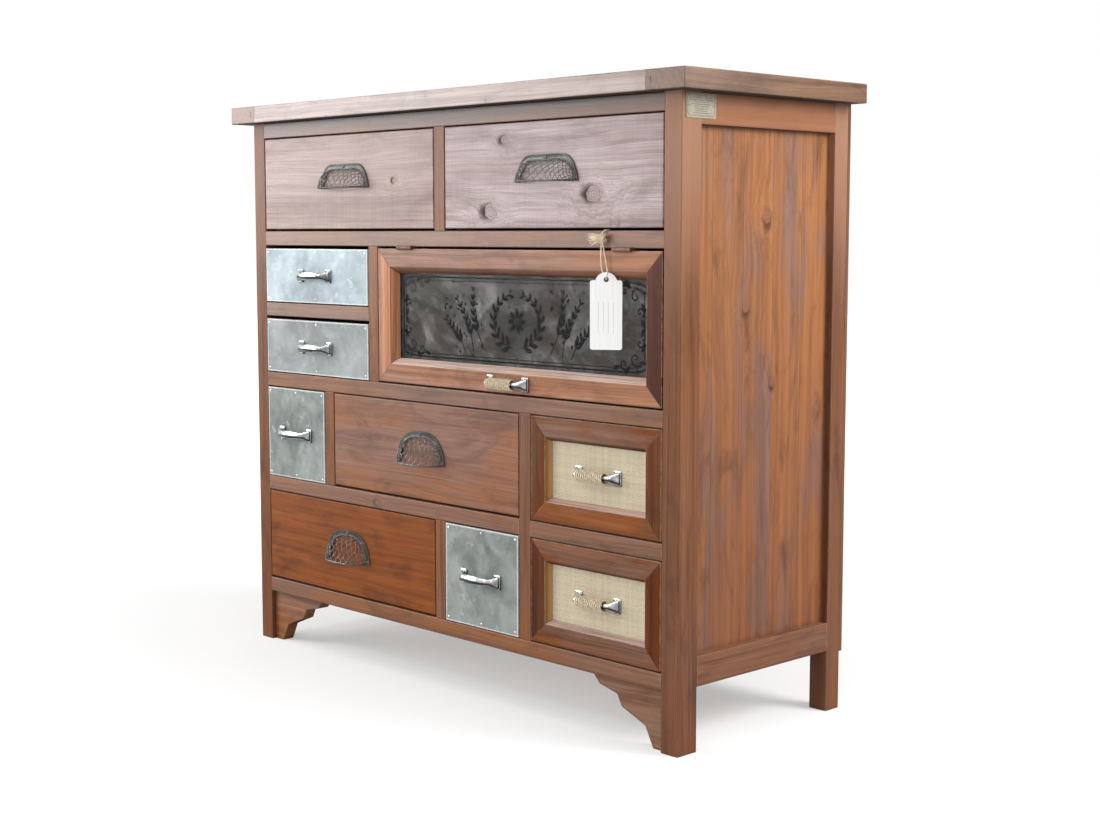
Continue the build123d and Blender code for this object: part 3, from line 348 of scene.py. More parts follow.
def pineFinish(name, **changes):
    # streaks are noise drawn out along the grain; near a knot the streaks bend into rings, because
    # the coordinate across the grain blends into the distance from the knot
    look = {**pineLook, **changes}
    g = FinishGraph(name)
    ways = {"x": (g.x, g.y, g.z), "y": (g.y, g.x, g.z), "z": (g.z, g.x, g.y)}
    along, first, second = ways[look["grain"]]
    across, depth = first + second, first - second
    seed, joint, plankTone = look["seed"], None, None
    if look["turnsTo"]:
        kind, *sizes = look["turnsWhere"]
        if kind == "beyond":
            lead, seam = abs(g.x) - sizes[0], 0.7 * mm
        else:
            middleX, middleZ, halfX, halfZ = sizes
            lead, seam = (abs(g.x - middleX) - halfX) - (abs(g.z - middleZ) - halfZ), 0.9 * mm
        turned, joint = lead > 0.0, g.fall(abs(lead), 0.2 * mm, seam)
        turnedAlong, first, second = ways[look["turnsTo"]]
        along = g.blend(turned, along, turnedAlong)
        across, depth = g.blend(turned, across, first + second), g.blend(turned, depth, first - second)
    if look["planks"]:
        board = across / look["planks"]
        plankTone = g.chance(g.maths("FLOOR", board))
        seed = plankTone * 37.0 + seed
        inPlank = g.maths("FRACT", board)
        fromSeam = g.maths("MINIMUM", inPlank, 1.0 - inPlank) * look["planks"]
        joint = g.fall(fromSeam, 0.1 * mm, 0.6 * mm, 0.6)

    def streaks(side, lengthwise, sideways, inwards, **how):
        # noise with a scale of its own along the grain, across it and into the wood
        return g.noise(g.vector(along * lengthwise + seed, side * sideways, depth * inwards), **how)

    drift = streaks(across, 2.6, 9.0, 1.0, detail=2.0)
    ring = (drift - 0.5) * 0.03 + across
    wobble = g.noise(g.vector(along * 90.0, across * 90.0), detail=2.0)
    marks = [None, None, None]
    for knotAlong, knotAcross, size in look["knots"]:
        toAlong, toAcross = along - knotAlong, across - knotAcross
        far = g.length(g.vector(toAlong * 0.72, toAcross)) * (wobble * 0.9 + 0.55)
        near = g.maths("POWER", far / (2.6 * size), 2.0)
        ring = g.blend(g.maths("POWER", 2.718, near * -1.0), ring, far + knotAcross)
        core = g.fall(far, 0.8 * size, 1.05 * size)
        beside = g.length(g.vector((toAlong + 1.05 * size) * 0.75, toAcross)) * (wobble * 0.8 + 0.6)
        halo = g.fall(beside, 0.35 * size, 1.75 * size) * (1.0 - core)
        waves = g.remap(g.maths("SINE", far / (0.05 * size)), 0.1, 0.9)
        these = (core, halo, g.fall(far, 1.0 * size, 1.5 * size) * waves)
        marks = [this if mark is None else g.larger(mark, this) for mark, this in zip(marks, these)]
    core, halo, rings = marks
    coarse = streaks(ring, 1.5, look["coarse"], 60.0, detail=4.0, rough=0.62, swirl=0.1)
    coarse = (streaks(ring, 3.2, 340.0, 120.0, rough=0.6) - 0.5) * look["stripe"] + coarse
    fine = streaks(ring, 8.0, 900.0, 300.0, detail=2.0)
    cloud = streaks(across, 3.4, 13.0, 6.0, rough=0.6)
    blot = streaks(across, 9.0, 26.0, 9.0, detail=4.0, rough=0.65, swirl=0.7)
    # warm and cool stain by streak and cloud, dark lines and blotches
    coolTones = toneSet(*look["cool"])
    toneSets = (toneSet(*look["warm"]), coolTones)
    warm, cool = (g.ramp(coarse, *zip((0.32, 0.5, 0.68), tones)) for tones in toneSets)
    greyFrom = 0.62 - 0.4 * look["greyed"]
    colour = g.mix(g.remap(cloud, greyFrom, greyFrom + 0.2), warm, cool)
    colour = g.mix(g.fall(fine, 0.3, 0.62, look["lines"]), colour, pineTones["line"])
    colour = g.mix(g.remap(blot, 0.46, 0.76, 0.0, look["blotch"]), colour, pineTones["blotch"])
    # tints of boards that turn, partly painted light and shade, and painted light and shade by height
    # boards that turn take their own tint: partly a darker wood, partly painted light and shade
    if look["turnedShade"]:
        shade = g.mix(g.x > (sizes[0] if kind == "mitre" else 0.0), *look["turnedShade"])
        colour = g.tinted(turned, colour, shade)
    # painted sheen and light: paler towards the top
    if look["paintedLightAbove"]:
        low, high, tone, share = look["paintedLightAbove"]
        colour = g.mix(g.remap(g.z, low, high, 0.0, share), colour, tone)
    # painted light: a tint that brightens towards the top
    if look["lift"]:
        low, high, tint = look["lift"]
        colour = g.tinted(g.remap(g.z, low, high), colour, tint)
    # painted shadow: darker up to a given height, below the top's overhang; the same dark tone marks joints
    if look["grimeAndShade"]:
        level, reach, share = look["grimeAndShade"]
        colour = g.mix(g.remap(g.z, level - reach, level, 0.0, share), colour, pineTones["grimeAndShade"])
    # painted light and shade, and tints, by the way a face looks
    sideways, _, facing = g.facing()
    # painted light on faces that look to the right
    if look["paintedLightFacingRight"]:
        tone, share = look["paintedLightFacingRight"]
        colour = g.mix(g.remap(sideways, 0.6, 0.9, 0.0, share), colour, tone)
    down, above = g.fall(facing, -0.95, -0.55), g.remap(facing, 0.55, 0.95)
    # painted shade on faces that look down
    colour = g.mix(down * look["under"], colour, pineTones["shadow"])
    if look["upper"]:
        tint, share = look["upper"]
        colour = g.tinted(above * share, colour, tint)
    # saw marks, planks, knots and joints
    if look["saw"]:
        kerf = g.remap(streaks(across, 520.0, 7.0, 0.0, detail=2.0), 0.5, 0.7)
        kerf = kerf * g.remap(cloud, 0.4, 0.6, 0.25, 1.0)
        colour = g.mix(kerf * look["saw"], colour, pineTones["kerf"])
    if plankTone:
        colour = g.mix(g.remap(plankTone, 0.0, 1.0, 0.0, 0.3), colour, coolTones[0])
    if look["knots"]:
        colour = g.mix(halo * look["knotDepth"], colour, pineTones["halo"])
        colour = g.mix(core * (0.5 * look["knotDepth"]), colour, coolTones[1])
        colour = g.mix(rings * (0.32 * look["knotDepth"]), colour, pineTones["knotRing"])
    if joint:
        colour = g.mix(joint * 0.8, colour, pineTones["grimeAndShade"])
    # rubbed edges, painted shade along lower edges, dusting and painted sheen on faces that look up
    scuff = g.speckle(90.0, rough=0.7)
    rub = g.edges(3.2 * mm) * g.remap(scuff, 0.36, 0.6, 0.15, look["wear"])
    colour = g.mix(rub, colour, look["wornTone"])
    # painted shade along lower edges
    colour = g.mix(g.underEdges() * (1.0 - above) * look["shaded"], colour, pineTones["shadow"])
    # dusting and painted sheen: paler on faces that look up
    if look["dustAndSheen"]:
        dustAndSheenMask = g.remap(facing, 0.25, 0.6) * g.remap(fine, 0.36, 0.56, 0.3, 1.0)
        colour = g.mix(dustAndSheenMask * look["dustAndSheen"], colour, pineTones["dustAndSheen"])
    # gloss and relief
    gloss = coarse * 0.14 + (look["roughness"] - 0.07) + rub * 0.2
    if look["knots"]:
        gloss = g.larger(halo, rings) * (0.4 * look["knotDepth"]) + gloss
    gloss = g.blend(g.larger(down, above), gloss, 0.85)
    relief = fine * 0.5 + coarse
    relief = g.bump(relief - joint if joint else relief, look["relief"], 0.6 * mm)
    return g.surface(Base_Color=colour, Roughness=gloss, IOR=1.5, Specular_IOR_Level=look["shine"], Normal=relief)


def boxFinish(name):
    # plain pine of the drawer boxes and the inside: the grain follows each board, picked by the way
    # its face looks
    g = FinishGraph(name)
    facesFront = abs(g.facing()[1]) > 0.7
    along = g.blend(facesFront, g.y, g.x)
    across = g.z + g.blend(facesFront, g.x, g.y)
    streak = g.noise(g.vector(along * 3.0, across * 130.0), detail=4.0, rough=0.6, swirl=0.15)
    fine = g.noise(g.vector(along * 16.0, across * 800.0), detail=2.0)
    colour = g.ramp(streak, (0.3, (0.36, 0.235, 0.13)), (0.52, (0.52, 0.375, 0.225)), (0.72, (0.6, 0.46, 0.3)))
    colour = g.mix(g.fall(fine, 0.3, 0.6, 0.25), colour, (0.22, 0.13, 0.07))
    colour = g.mix(g.remap(g.speckle(7.0), 0.5, 0.75, 0.0, 0.25), colour, (0.3, 0.19, 0.11))
    gloss = g.remap(streak, 0.2, 0.8, 0.5, 0.68)
    return g.surface(Base_Color=colour, Roughness=gloss, Normal=g.bump(fine, 0.2, 0.4 * mm))


def zincFinish(name, dark, middle, light, stains):
    # galvanised sheet: clouds of tarnish over small crystal cells, bright along the folds, partly rubbed and
    # partly a painted highlight
    g = FinishGraph(name)
    cloud = g.speckle((8.0, 8.0, 9.0), detail=4.0, swirl=0.5)
    patch = g.speckle((24.0, 24.0, 21.0), detail=2.0, rough=0.5, swirl=1.2)
    crystal = g.add("TexVoronoi", {"Vector": g.place, "Scale": 115.0, "Randomness": 1.0}, "Color")
    tone = (g.parts(crystal)[0] - 0.5) * 0.06 + (cloud * 0.6 + patch * 0.4)
    colour = g.ramp(tone, (0.36, dark), (0.5, middle), (0.64, light))
    fleck, spot = g.speckle(85.0, detail=1.0, swirl=0.6), g.speckle(30.0, detail=2.0)
    colour = g.mix(g.remap(fleck, 0.66, 0.74, 0.0, 0.45), colour, shades(light, 1.35))
    colour = g.mix(g.remap(spot, 0.64, 0.74, 0.0, stains), colour, (0.11, 0.12, 0.12))
    # bright along folds and edges: rubbed wear and a painted highlight
    colour = g.mix(g.edges(3.0 * mm, 0.004, 0.12) * 0.85, colour, (0.9, 0.92, 0.9))
    gloss = g.remap(tone, 0.3, 0.7, 0.56, 0.42)
    relief = g.bump(patch * 0.25 + g.speckle(16.0, detail=2.0), 0.25, 1.2 * mm)
    return g.surface(Base_Color=colour, Metallic=0.04, Roughness=gloss, Specular_IOR_Level=0.22, Normal=relief)


def metalFinish(name, base, worn, roughness, metallic, wear=0.7, grit=160.0):
    # cast or plated metal: fine grit in the gloss, bright where the edges are rubbed
    g = FinishGraph(name)
    grain = g.speckle(grit, rough=0.65)
    colour = g.mix(g.remap(g.speckle(42.0), 0.35, 0.7), base, shades(base, 0.6))
    colour = g.mix(g.edges(0.9 * mm) * wear, colour, worn)
    gloss = g.remap(grain, 0.3, 0.7, 0.75 * roughness, 1.3 * roughness)
    relief = g.bump(grain, 0.12 * min(1.0, 4 * roughness), 0.3 * mm)
    return g.surface(Base_Color=colour, Metallic=metallic, Roughness=gloss, Normal=relief)


def chromeFinish(name):
    # plated metal: painted reflection, dark where it faces a little downwards, lighter where it faces straight
    # down or up
    g = FinishGraph(name)
    waver = g.speckle(150.0, detail=2.0) * 0.3 - 0.15
    level = (g.facing()[2] + waver) * 0.5 + 0.5
    at, tones = (0.0, 0.16, 0.24, 0.45, 0.51, 0.57, 0.68, 1.0), (0.5, 0.45, 0.05, 0.035, 0.26, 0.46, 0.66, 0.78)
    colour = g.ramp(level, *zip(at, [(0.97 * tone, tone, tone) for tone in tones]))
    colour = g.mix(g.edges(0.8 * mm) * 0.6, colour, (0.9, 0.91, 0.92))
    pits = g.speckle(420.0, detail=2.0)
    gloss, relief = g.remap(pits, 0.35, 0.75, 0.07, 0.16), g.bump(pits, 0.05, 0.2 * mm)
    return g.surface(Base_Color=colour, Metallic=1.0, Roughness=gloss, Normal=relief)


plateRules = dict(spacing=2.5 * mm, share=0.8, shortest=0.42, spread=0.4)


def plateFinish(name, node):
    # thin brass sheet with a few engraved rules of different lengths, worn in places
    g = FinishGraph(name)
    middle, half = boxOf(node)
    across, up = abs(g.y - middle[1]), g.z - middle[2]
    row = up / plateRules["spacing"]
    length = (g.chance(g.maths("FLOOR", row)) * plateRules["spread"] + plateRules["shortest"]) * half[1]
    line = g.fall(abs(g.maths("FRACT", row) - 0.5), 0.1, 0.2)
    line = line * (across < length) * (abs(up) < plateRules["share"] * half[2])
    wear = g.speckle(300.0, rough=0.7)
    line = line * g.remap(wear, 0.35, 0.6, 0.9, 0.35)
    colour = g.mix(g.remap(g.speckle(60.0), 0.35, 0.7), (0.27, 0.24, 0.185), (0.2, 0.177, 0.135))
    colour = g.mix(line, colour, (0.03, 0.025, 0.02))
    colour = g.mix(g.edges(0.9 * mm) * 0.7, colour, (0.5, 0.46, 0.37))
    gloss, relief = g.remap(wear, 0.3, 0.7, 0.4, 0.6), g.bump(wear - line, 0.15, 0.3 * mm)
    return g.surface(Base_Color=colour, Metallic=0.1, Roughness=gloss, Specular_IOR_Level=0.2, Normal=relief)


def fibreFinish(name, dark, light, streakScale, shadedHollows=None):
    # dry plant fibre: thin streaks of light and dark, no gloss; an attribute may paint shade into the hollows
    g = FinishGraph(name)
    streak = g.speckle(streakScale, detail=4.0, rough=0.7)
    cloud = g.speckle(120.0, detail=2.0)
    colour = g.mix(g.remap(streak, 0.32, 0.66), dark, light)
    colour = g.mix(g.remap(cloud, 0.5, 0.75, 0.0, 0.35), colour, shades(dark, 0.7))
    if shadedHollows:
        standing = g.add("Attribute", out="Fac", attribute_name=shadedHollows)
        colour = g.mix(g.fall(standing, 0.2, 0.8, 0.8), colour, shades(dark, 0.22))
    relief = g.bump(streak, 0.4, 0.4 * mm)
    return g.surface(Base_Color=colour, Roughness=0.92, Specular_IOR_Level=0.2, Sheen_Weight=0.15, Normal=relief)


weave = dict(
    pitch=1.9 * mm, lift=0.28 * mm, dark=(0.4, 0.34, 0.235), light=(0.68, 0.6, 0.455), gap=(0.2, 0.145, 0.08),
)


def burlapFinish(name):
    # plain weave: every thread has its own tone, and the gaps between threads are painted dark as shade
    g = FinishGraph(name)
    u, v = g.x / weave["pitch"], g.z / weave["pitch"]
    column, row = g.maths("FLOOR", u), g.maths("FLOOR", v)
    odd = g.maths("PINGPONG", column + row, 1.0)
    thread = g.blend(odd, g.chance(column), g.chance(row + 400.5))
    fray = g.speckle(900.0, rough=0.7)
    colour = g.mix(g.remap(thread * 0.18 + fray * 0.8, 0.2, 0.8), weave["dark"], weave["light"])
    gaps = [abs(g.maths("SINE", at * math.pi)) for at in (u, v)]
    colour = g.mix(g.fall(g.maths("MINIMUM", *gaps), 0.04, 0.32, 0.5), colour, weave["gap"])
    relief = g.bump(fray, 0.35, 0.3 * mm)
    return g.surface(Base_Color=colour, Roughness=0.93, Specular_IOR_Level=0.2, Sheen_Weight=0.1, Normal=relief)


def paneBackFinish(name):
    # a dark sheet with pale smoky smears
    g = FinishGraph(name)
    smear = g.speckle((9.0, 9.0, 15.0), detail=5.0, rough=0.62, swirl=1.3)
    tone = smear * 0.75 + g.speckle(60.0, swirl=0.8) * 0.25
    tones = [(0.023, 0.019, 0.0155), (0.053, 0.046, 0.0405), (0.104, 0.0975, 0.094), (0.27, 0.26, 0.25)]
    colour = g.ramp(tone, *zip((0.36, 0.48, 0.57, 0.68), tones))
    return g.surface(Base_Color=colour, Roughness=g.remap(smear, 0.3, 0.7, 0.7, 0.55), Specular_IOR_Level=0.15)


tagLook = dict(
    hole=(310.5 * mm, faceY - 2.5 * mm, 560.0 * mm), yaw=math.radians(35.0), colour=(0.985, 0.985, 0.98),
    spacing=6.2 * mm, top=26 * mm, bottom=66 * mm, halfRows=2.4,  # the ruled lines, measured from the hole
)


def tagFinish(name):
    # brushed paint over wood: faint brush marks and a few ruled lines run down the piece
    g = FinishGraph(name)
    colour, yaw, hole = tagLook["colour"], tagLook["yaw"], tagLook["hole"]
    part = g.parts(g.add("Mapping", {"Vector": g.place, "Rotation": (0.0, 0.0, -yaw)}))
    groove = g.noise(g.vector(part[0] * 420.0, part[1] * 420.0, part[2] * 9.0), rough=0.6)
    shade = g.mix(g.fall(groove, 0.3, 0.52, 0.4), colour, shades(colour, 0.78))
    across = (part[0] - (math.cos(yaw) * hole[0] + math.sin(yaw) * hole[1])) / tagLook["spacing"]
    line = g.fall(abs(g.maths("FRACT", across) - 0.5), 0.03, 0.075)
    below = hole[2] - g.z
    line = line * g.remap(below, tagLook["top"], tagLook["top"] + 2 * mm)
    line = line * g.fall(below, tagLook["bottom"] - 4 * mm, tagLook["bottom"])
    line = line * g.fall(abs(across), tagLook["halfRows"], tagLook["halfRows"] + 0.1)
    shade = g.mix(line * 0.45, shade, shades(colour, 0.35))
    return g.surface(Base_Color=shade, Roughness=0.6, Normal=g.bump(groove - line, 0.3, 0.5 * mm))


def inkFinish(name):
    # dull black with a slight mottle
    g = FinishGraph(name)
    tone = g.mix(g.remap(g.speckle(300.0), 0.35, 0.65), (0.006, 0.006, 0.006), (0.014, 0.014, 0.013))
    return g.surface(Base_Color=tone, Roughness=0.8, Specular_IOR_Level=0.05)


def glassFinish(name):
    # nearly clear, with smudges in its gloss
    g = FinishGraph(name)
    smudge = g.remap(g.speckle(9.0), 0.4, 0.75, 0.015, 0.09)
    tone = (0.06, 0.065, 0.065, 1.0)
    return g.surface(Base_Color=tone, Roughness=smudge, IOR=1.45, Specular_IOR_Level=0.1, Alpha=0.1)


def mitred(node):
    # the grain of a frame turns where a point is as far inside its side as inside its top
    middle, half = boxOf(node)
    return dict(turnsTo="z", turnsWhere=("mitre", middle[0], middle[2], half[0], half[2]))


def knotsAt(shift, *spots):
    # each spot: along the grain, across it, radius; the place across is the sum of both other
    # coordinates, and the front plane and the shift are the part of it that all the spots share
    return [(along, across + faceY + shift, size) for along, across, size in spots]


# wood of each board, with the knots that show
sideCool = ((0.162, 0.081, 0.058), 0.2)
postLook = dict(
    grain="z", warm=((0.168, 0.064, 0.027), 0.26), cool=((0.142, 0.062, 0.036), 0.26), greyed=0.4, wear=0.5,
)
paleLook = dict(knotDepth=1.0, shine=0.2, lines=0.42, blotch=0.42, relief=0.45)
burlapFrameLook = dict(wear=0.8, dustAndSheen=0.6, paintedLightFacingRight=((0.5, 0.27, 0.1), 0.8))
woodLooks = {
    # top: pale grey tones, painted sheen for the front edge; faces that look up are tinted back to brown, and the
    # end pieces are a darker wood
    "topWood": dict(
        warm=((0.34, 0.26, 0.235), 0.32), cool=((0.27, 0.19, 0.165), 0.32), greyed=0.3, seed=3.1, shine=0.3,
        turnsTo="y", turnsWhere=("beyond", 0.3915), turnedShade=[(0.44, 0.28, 0.15)] * 2,
        under=0.97, upper=((0.62, 0.44, 0.33), 0.85),
        knots=knotsAt(-0.024, (-0.245, 0.7775, 0.0011), (-0.215, 0.779, 0.001), (0.12, 0.781, 0.001)),
    ),
    # rails: the top rail is darkened just below the top's overhang, a painted shadow
    "railWood": dict(
        warm=((0.215, 0.078, 0.024), 0.28), cool=((0.18, 0.08, 0.044), 0.3), greyed=0.6, seed=7.7, shine=0.25,
        grimeAndShade=(0.776, 0.03, 0.92), knots=knotsAt(0.0, (-0.139, 0.2397, 0.004)),
    ),
    "dividerWood": dict(grain="z", warm=((0.21, 0.078, 0.028), 0.24), greyed=0.5, seed=11.3, shine=0.12),
    # posts: paler towards the top, painted sheen; the front left post is a copy with less of it
    "postWood": dict(seed=15.9, shine=0.1, paintedLightAbove=(0.48, 0.72, (0.33, 0.176, 0.11), 0.6), **postLook),
    "leftPostWood": dict(seed=18.4, shine=0.07, paintedLightAbove=(0.5, 0.72, (0.28, 0.16, 0.12), 0.3), **postLook),
    # side rails: paler towards the top, painted light
    "carcassWood": dict(
        warm=((0.19, 0.085, 0.046), 0.24), cool=sideCool, greyed=0.4, seed=21.4,
        turnsTo="y", turnsWhere=("beyond", 0.401), paintedLightAbove=(0.3, 0.7, (0.27, 0.115, 0.058), 0.6),
    ),
    # side panels: brighter towards the top, painted light
    "panelWood": dict(
        grain="z", warm=((0.238, 0.086, 0.03), 0.2), cool=sideCool, greyed=0.45, seed=27.2, planks=0.056,
        wear=0.2, lines=0.15, stripe=0.3, blotch=0.7, relief=0.16, lift=(0.15, 0.7, (1.32, 1.5, 1.6)),
        knots=knotsAt(0.4175, (0.527, 0.1271, 0.006), (0.637, 0.1659, 0.008), (0.434, 0.1786, 0.005)),
        knotDepth=0.75,
    ),
    "backWood": dict(
        grain="z", warm=((0.18, 0.07, 0.03), 0.22), cool=((0.165, 0.078, 0.045), 0.22), greyed=0.7, seed=31.0,
        planks=0.3, wear=0.2, blotch=0.3,
    ),
    "bracketWood": dict(
        warm=((0.26, 0.098, 0.038), 0.26), cool=((0.235, 0.13, 0.09), 0.26), greyed=0.6, seed=35.5,
    ),
    # upper drawer fronts: pale grey tones, partly a greyer wood and partly painted sheen
    "upperLeftWood": dict(
        warm=((0.33, 0.228, 0.205), 0.26), cool=((0.26, 0.165, 0.142), 0.28), greyed=0.35, seed=41.0,
        saw=0.3, knots=knotsAt(0.0, (-0.0933, 0.6863, 0.004)), **paleLook,
    ),
    "upperRightWood": dict(
        warm=((0.37, 0.29, 0.28), 0.24), cool=((0.28, 0.2, 0.19), 0.26), greyed=0.4, seed=47.3, saw=0.32,
        knots=knotsAt(0.0, (0.1008, 0.6422, 0.0085), (0.2872, 0.6616, 0.0095), (0.1283, 0.7315, 0.005)),
        **paleLook,
    ),
    "middleWood": dict(
        warm=((0.25, 0.092, 0.036), 0.18), cool=((0.215, 0.105, 0.068), 0.18), greyed=0.6, seed=53.2, shine=0.18,
    ),
    "lowerLeftWood": dict(warm=((0.215, 0.059, 0.0115), 0.22), greyed=0.1, seed=59.8, blotch=0.58),
    "flapWood": dict(
        warm=((0.325, 0.145, 0.077), 0.28), cool=((0.28, 0.158, 0.112), 0.28), greyed=0.4, seed=61.0, wear=0.8,
        # flap: the left stile is painted lighter and the right stile darker, painted light and shade
        turnedShade=((1.42, 1.28, 1.08), (0.25, 0.115, 0.065)), shine=0.09, dustAndSheen=0.75, **mitred("flap_frame"),
    ),
    # burlap frames: darker stiles, painted shade where they catch less sheen than the rails
    "burlapUpperWood": dict(
        cool=((0.2, 0.11, 0.078), 0.3), greyed=0.55, seed=67.0, shine=0.07,
        turnedShade=((0.62, 0.56, 0.44), (0.66, 0.5, 0.3)), **mitred("burlap_upper_frame"), **burlapFrameLook,
    ),
    "burlapLowerWood": dict(
        warm=((0.19, 0.058, 0.014), 0.28), cool=((0.17, 0.084, 0.054), 0.3), greyed=0.45, seed=71.0, shine=0.05,
        turnedShade=((0.5, 0.36, 0.26), (0.55, 0.45, 0.42)), **mitred("burlap_lower_frame"), **burlapFrameLook,
    ),
}
for name, look in woodLooks.items():
    pineFinish(name, **look)
boxFinish("boxWood")

# sheet metal: dark, middle and light tarnish, and the share of stains; the higher sheets are paler copies, painted
# sheen
zincFinish("paleZinc", (0.25, 0.295, 0.32), (0.325, 0.385, 0.425), (0.42, 0.49, 0.535), 0.12)
zincFinish("brightZinc", (0.155, 0.172, 0.172), (0.205, 0.227, 0.227), (0.275, 0.302, 0.302), 0.2)
zincFinish("dullZinc", (0.115, 0.128, 0.121), (0.186, 0.207, 0.195), (0.275, 0.304, 0.29), 0.55)
plateFinish("plateBrass", "side_plate")

# other metal: ground tone, tone where it is worn, roughness and share of metal
antiqueIron = metalFinish("antiqueIron", (0.08, 0.077, 0.073), (0.36, 0.355, 0.34), 0.42, 0.75, wear=0.5)
wornIron = metalFinish("wornIron", (0.07, 0.06, 0.054), (0.44, 0.44, 0.42), 0.4, 0.6, wear=0.6)
hingeSteel = metalFinish("hingeSteel", (0.15, 0.062, 0.032), (0.3, 0.17, 0.11), 0.5, 0.2)
trimBrass = metalFinish("trimBrass", (0.2, 0.175, 0.13), (0.5, 0.46, 0.37), 0.5, 0.2, grit=420.0)
tackSteel = metalFinish("tackSteel", (0.62, 0.64, 0.64), (0.85, 0.86, 0.86), 0.3, 1.0)
chrome = chromeFinish("chrome")

ropeFibre = fibreFinish(
    "ropeFibre", (0.5, 0.385, 0.225), (0.94, 0.85, 0.645), (260.0, 900.0, 900.0), shadedHollows="standing",
)
twineFibre = fibreFinish("twineFibre", (0.62, 0.5, 0.34), (0.92, 0.82, 0.64), (900.0, 900.0, 260.0))
burlapCloth = burlapFinish("burlapCloth")
printInk, clearPane = inkFinish("printInk"), glassFinish("clearPane")
paneBackFinish("paneBack")
tagFinish("tagPaint")
print("finishes made:", len(bpy.data.materials))

# which nodes each finish goes on
zincDrawers = ("small_zinc_upper", "small_zinc_lower", "tall_zinc_left", "tall_zinc_low")
finishedNodes = {
    "topWood": ["top_board"], "railWood": ["front_rails"], "dividerWood": ["front_dividers"],
    "postWood": ["front_right_post", "rear_left_post", "rear_right_post"], "leftPostWood": ["front_left_post"],
    "carcassWood": ["carcass_rails"], "panelWood": ["side_panels"], "backWood": ["back_panel"],
    "bracketWood": ["bracket_feet"], "upperLeftWood": ["upper_left_drawer_front"],
    "upperRightWood": ["upper_right_drawer_front"], "middleWood": ["middle_drawer_front"],
    "lowerLeftWood": ["lower_left_drawer_front"], "flapWood": ["flap_frame"],
    "burlapUpperWood": ["burlap_upper_frame"], "burlapLowerWood": ["burlap_lower_frame"],
    "burlapCloth": ["burlap_upper_panel", "burlap_lower_panel"],
    "paleZinc": ["small_zinc_upper_sheet"], "brightZinc": ["small_zinc_lower_sheet"],
    "dullZinc": ["tall_zinc_left_sheet", "tall_zinc_low_sheet"], "plateBrass": ["side_plate"],
    "hingeSteel": ["flap_hinge_fixed_leaves", "flap_hinge_moving_leaves"],
    "paneBack": ["flap_backing"], "tagPaint": ["hang_tag"],
    "boxWood": ["dust_boards", "partitions", "guide_strips"] + [name for name in nodes if name.endswith("_box")],
}
for finish, names in finishedNodes.items():
    for name in names:
        nodes[name].data.materials.clear()
        nodes[name].data.materials.append(bpy.data.materials[finish])


# cup pulls: a flanged half-oval rim, an openwork dome of crossed wires and a beaded lip
wideCup = dict(
    half=56 * mm, height=34 * mm, wires=20, slant=0.2,
    shape=[(1, 0), (0.955, 0.3), (0.85, 0.66), (0.68, 0.92), (0.42, 1), (0, 1)],
)
roundCup = dict(
    half=50 * mm, height=44 * mm, wires=18, slant=0.22,
    shape=[(1, 0), (0.965, 0.3), (0.86, 0.58), (0.67, 0.82), (0.37, 0.97), (0, 1)],
)
cupMake = dict(
    reach=22.7 * mm, rim=8 * mm, overlap=0.6 * mm, stand=0.4 * mm, wire=0.5 * mm, lip=1.25 * mm, beads=30,
    screw=dict(radius=2.6 * mm, height=1.0 * mm, slotWidth=0.7 * mm, sides=20, rings=7),
)
cupRim = dict(  # profile of the rim: share of its width, distance out
    share=[0.0, 0.0, 0.05, 0.13, 0.24, 0.76, 0.87, 1.0, 1.0, 0.0],
    out=[0.0, 1.5, 2.1, 2.1, 1.55, 1.55, 2.2, 2.2, 0.0, 0.0],
)


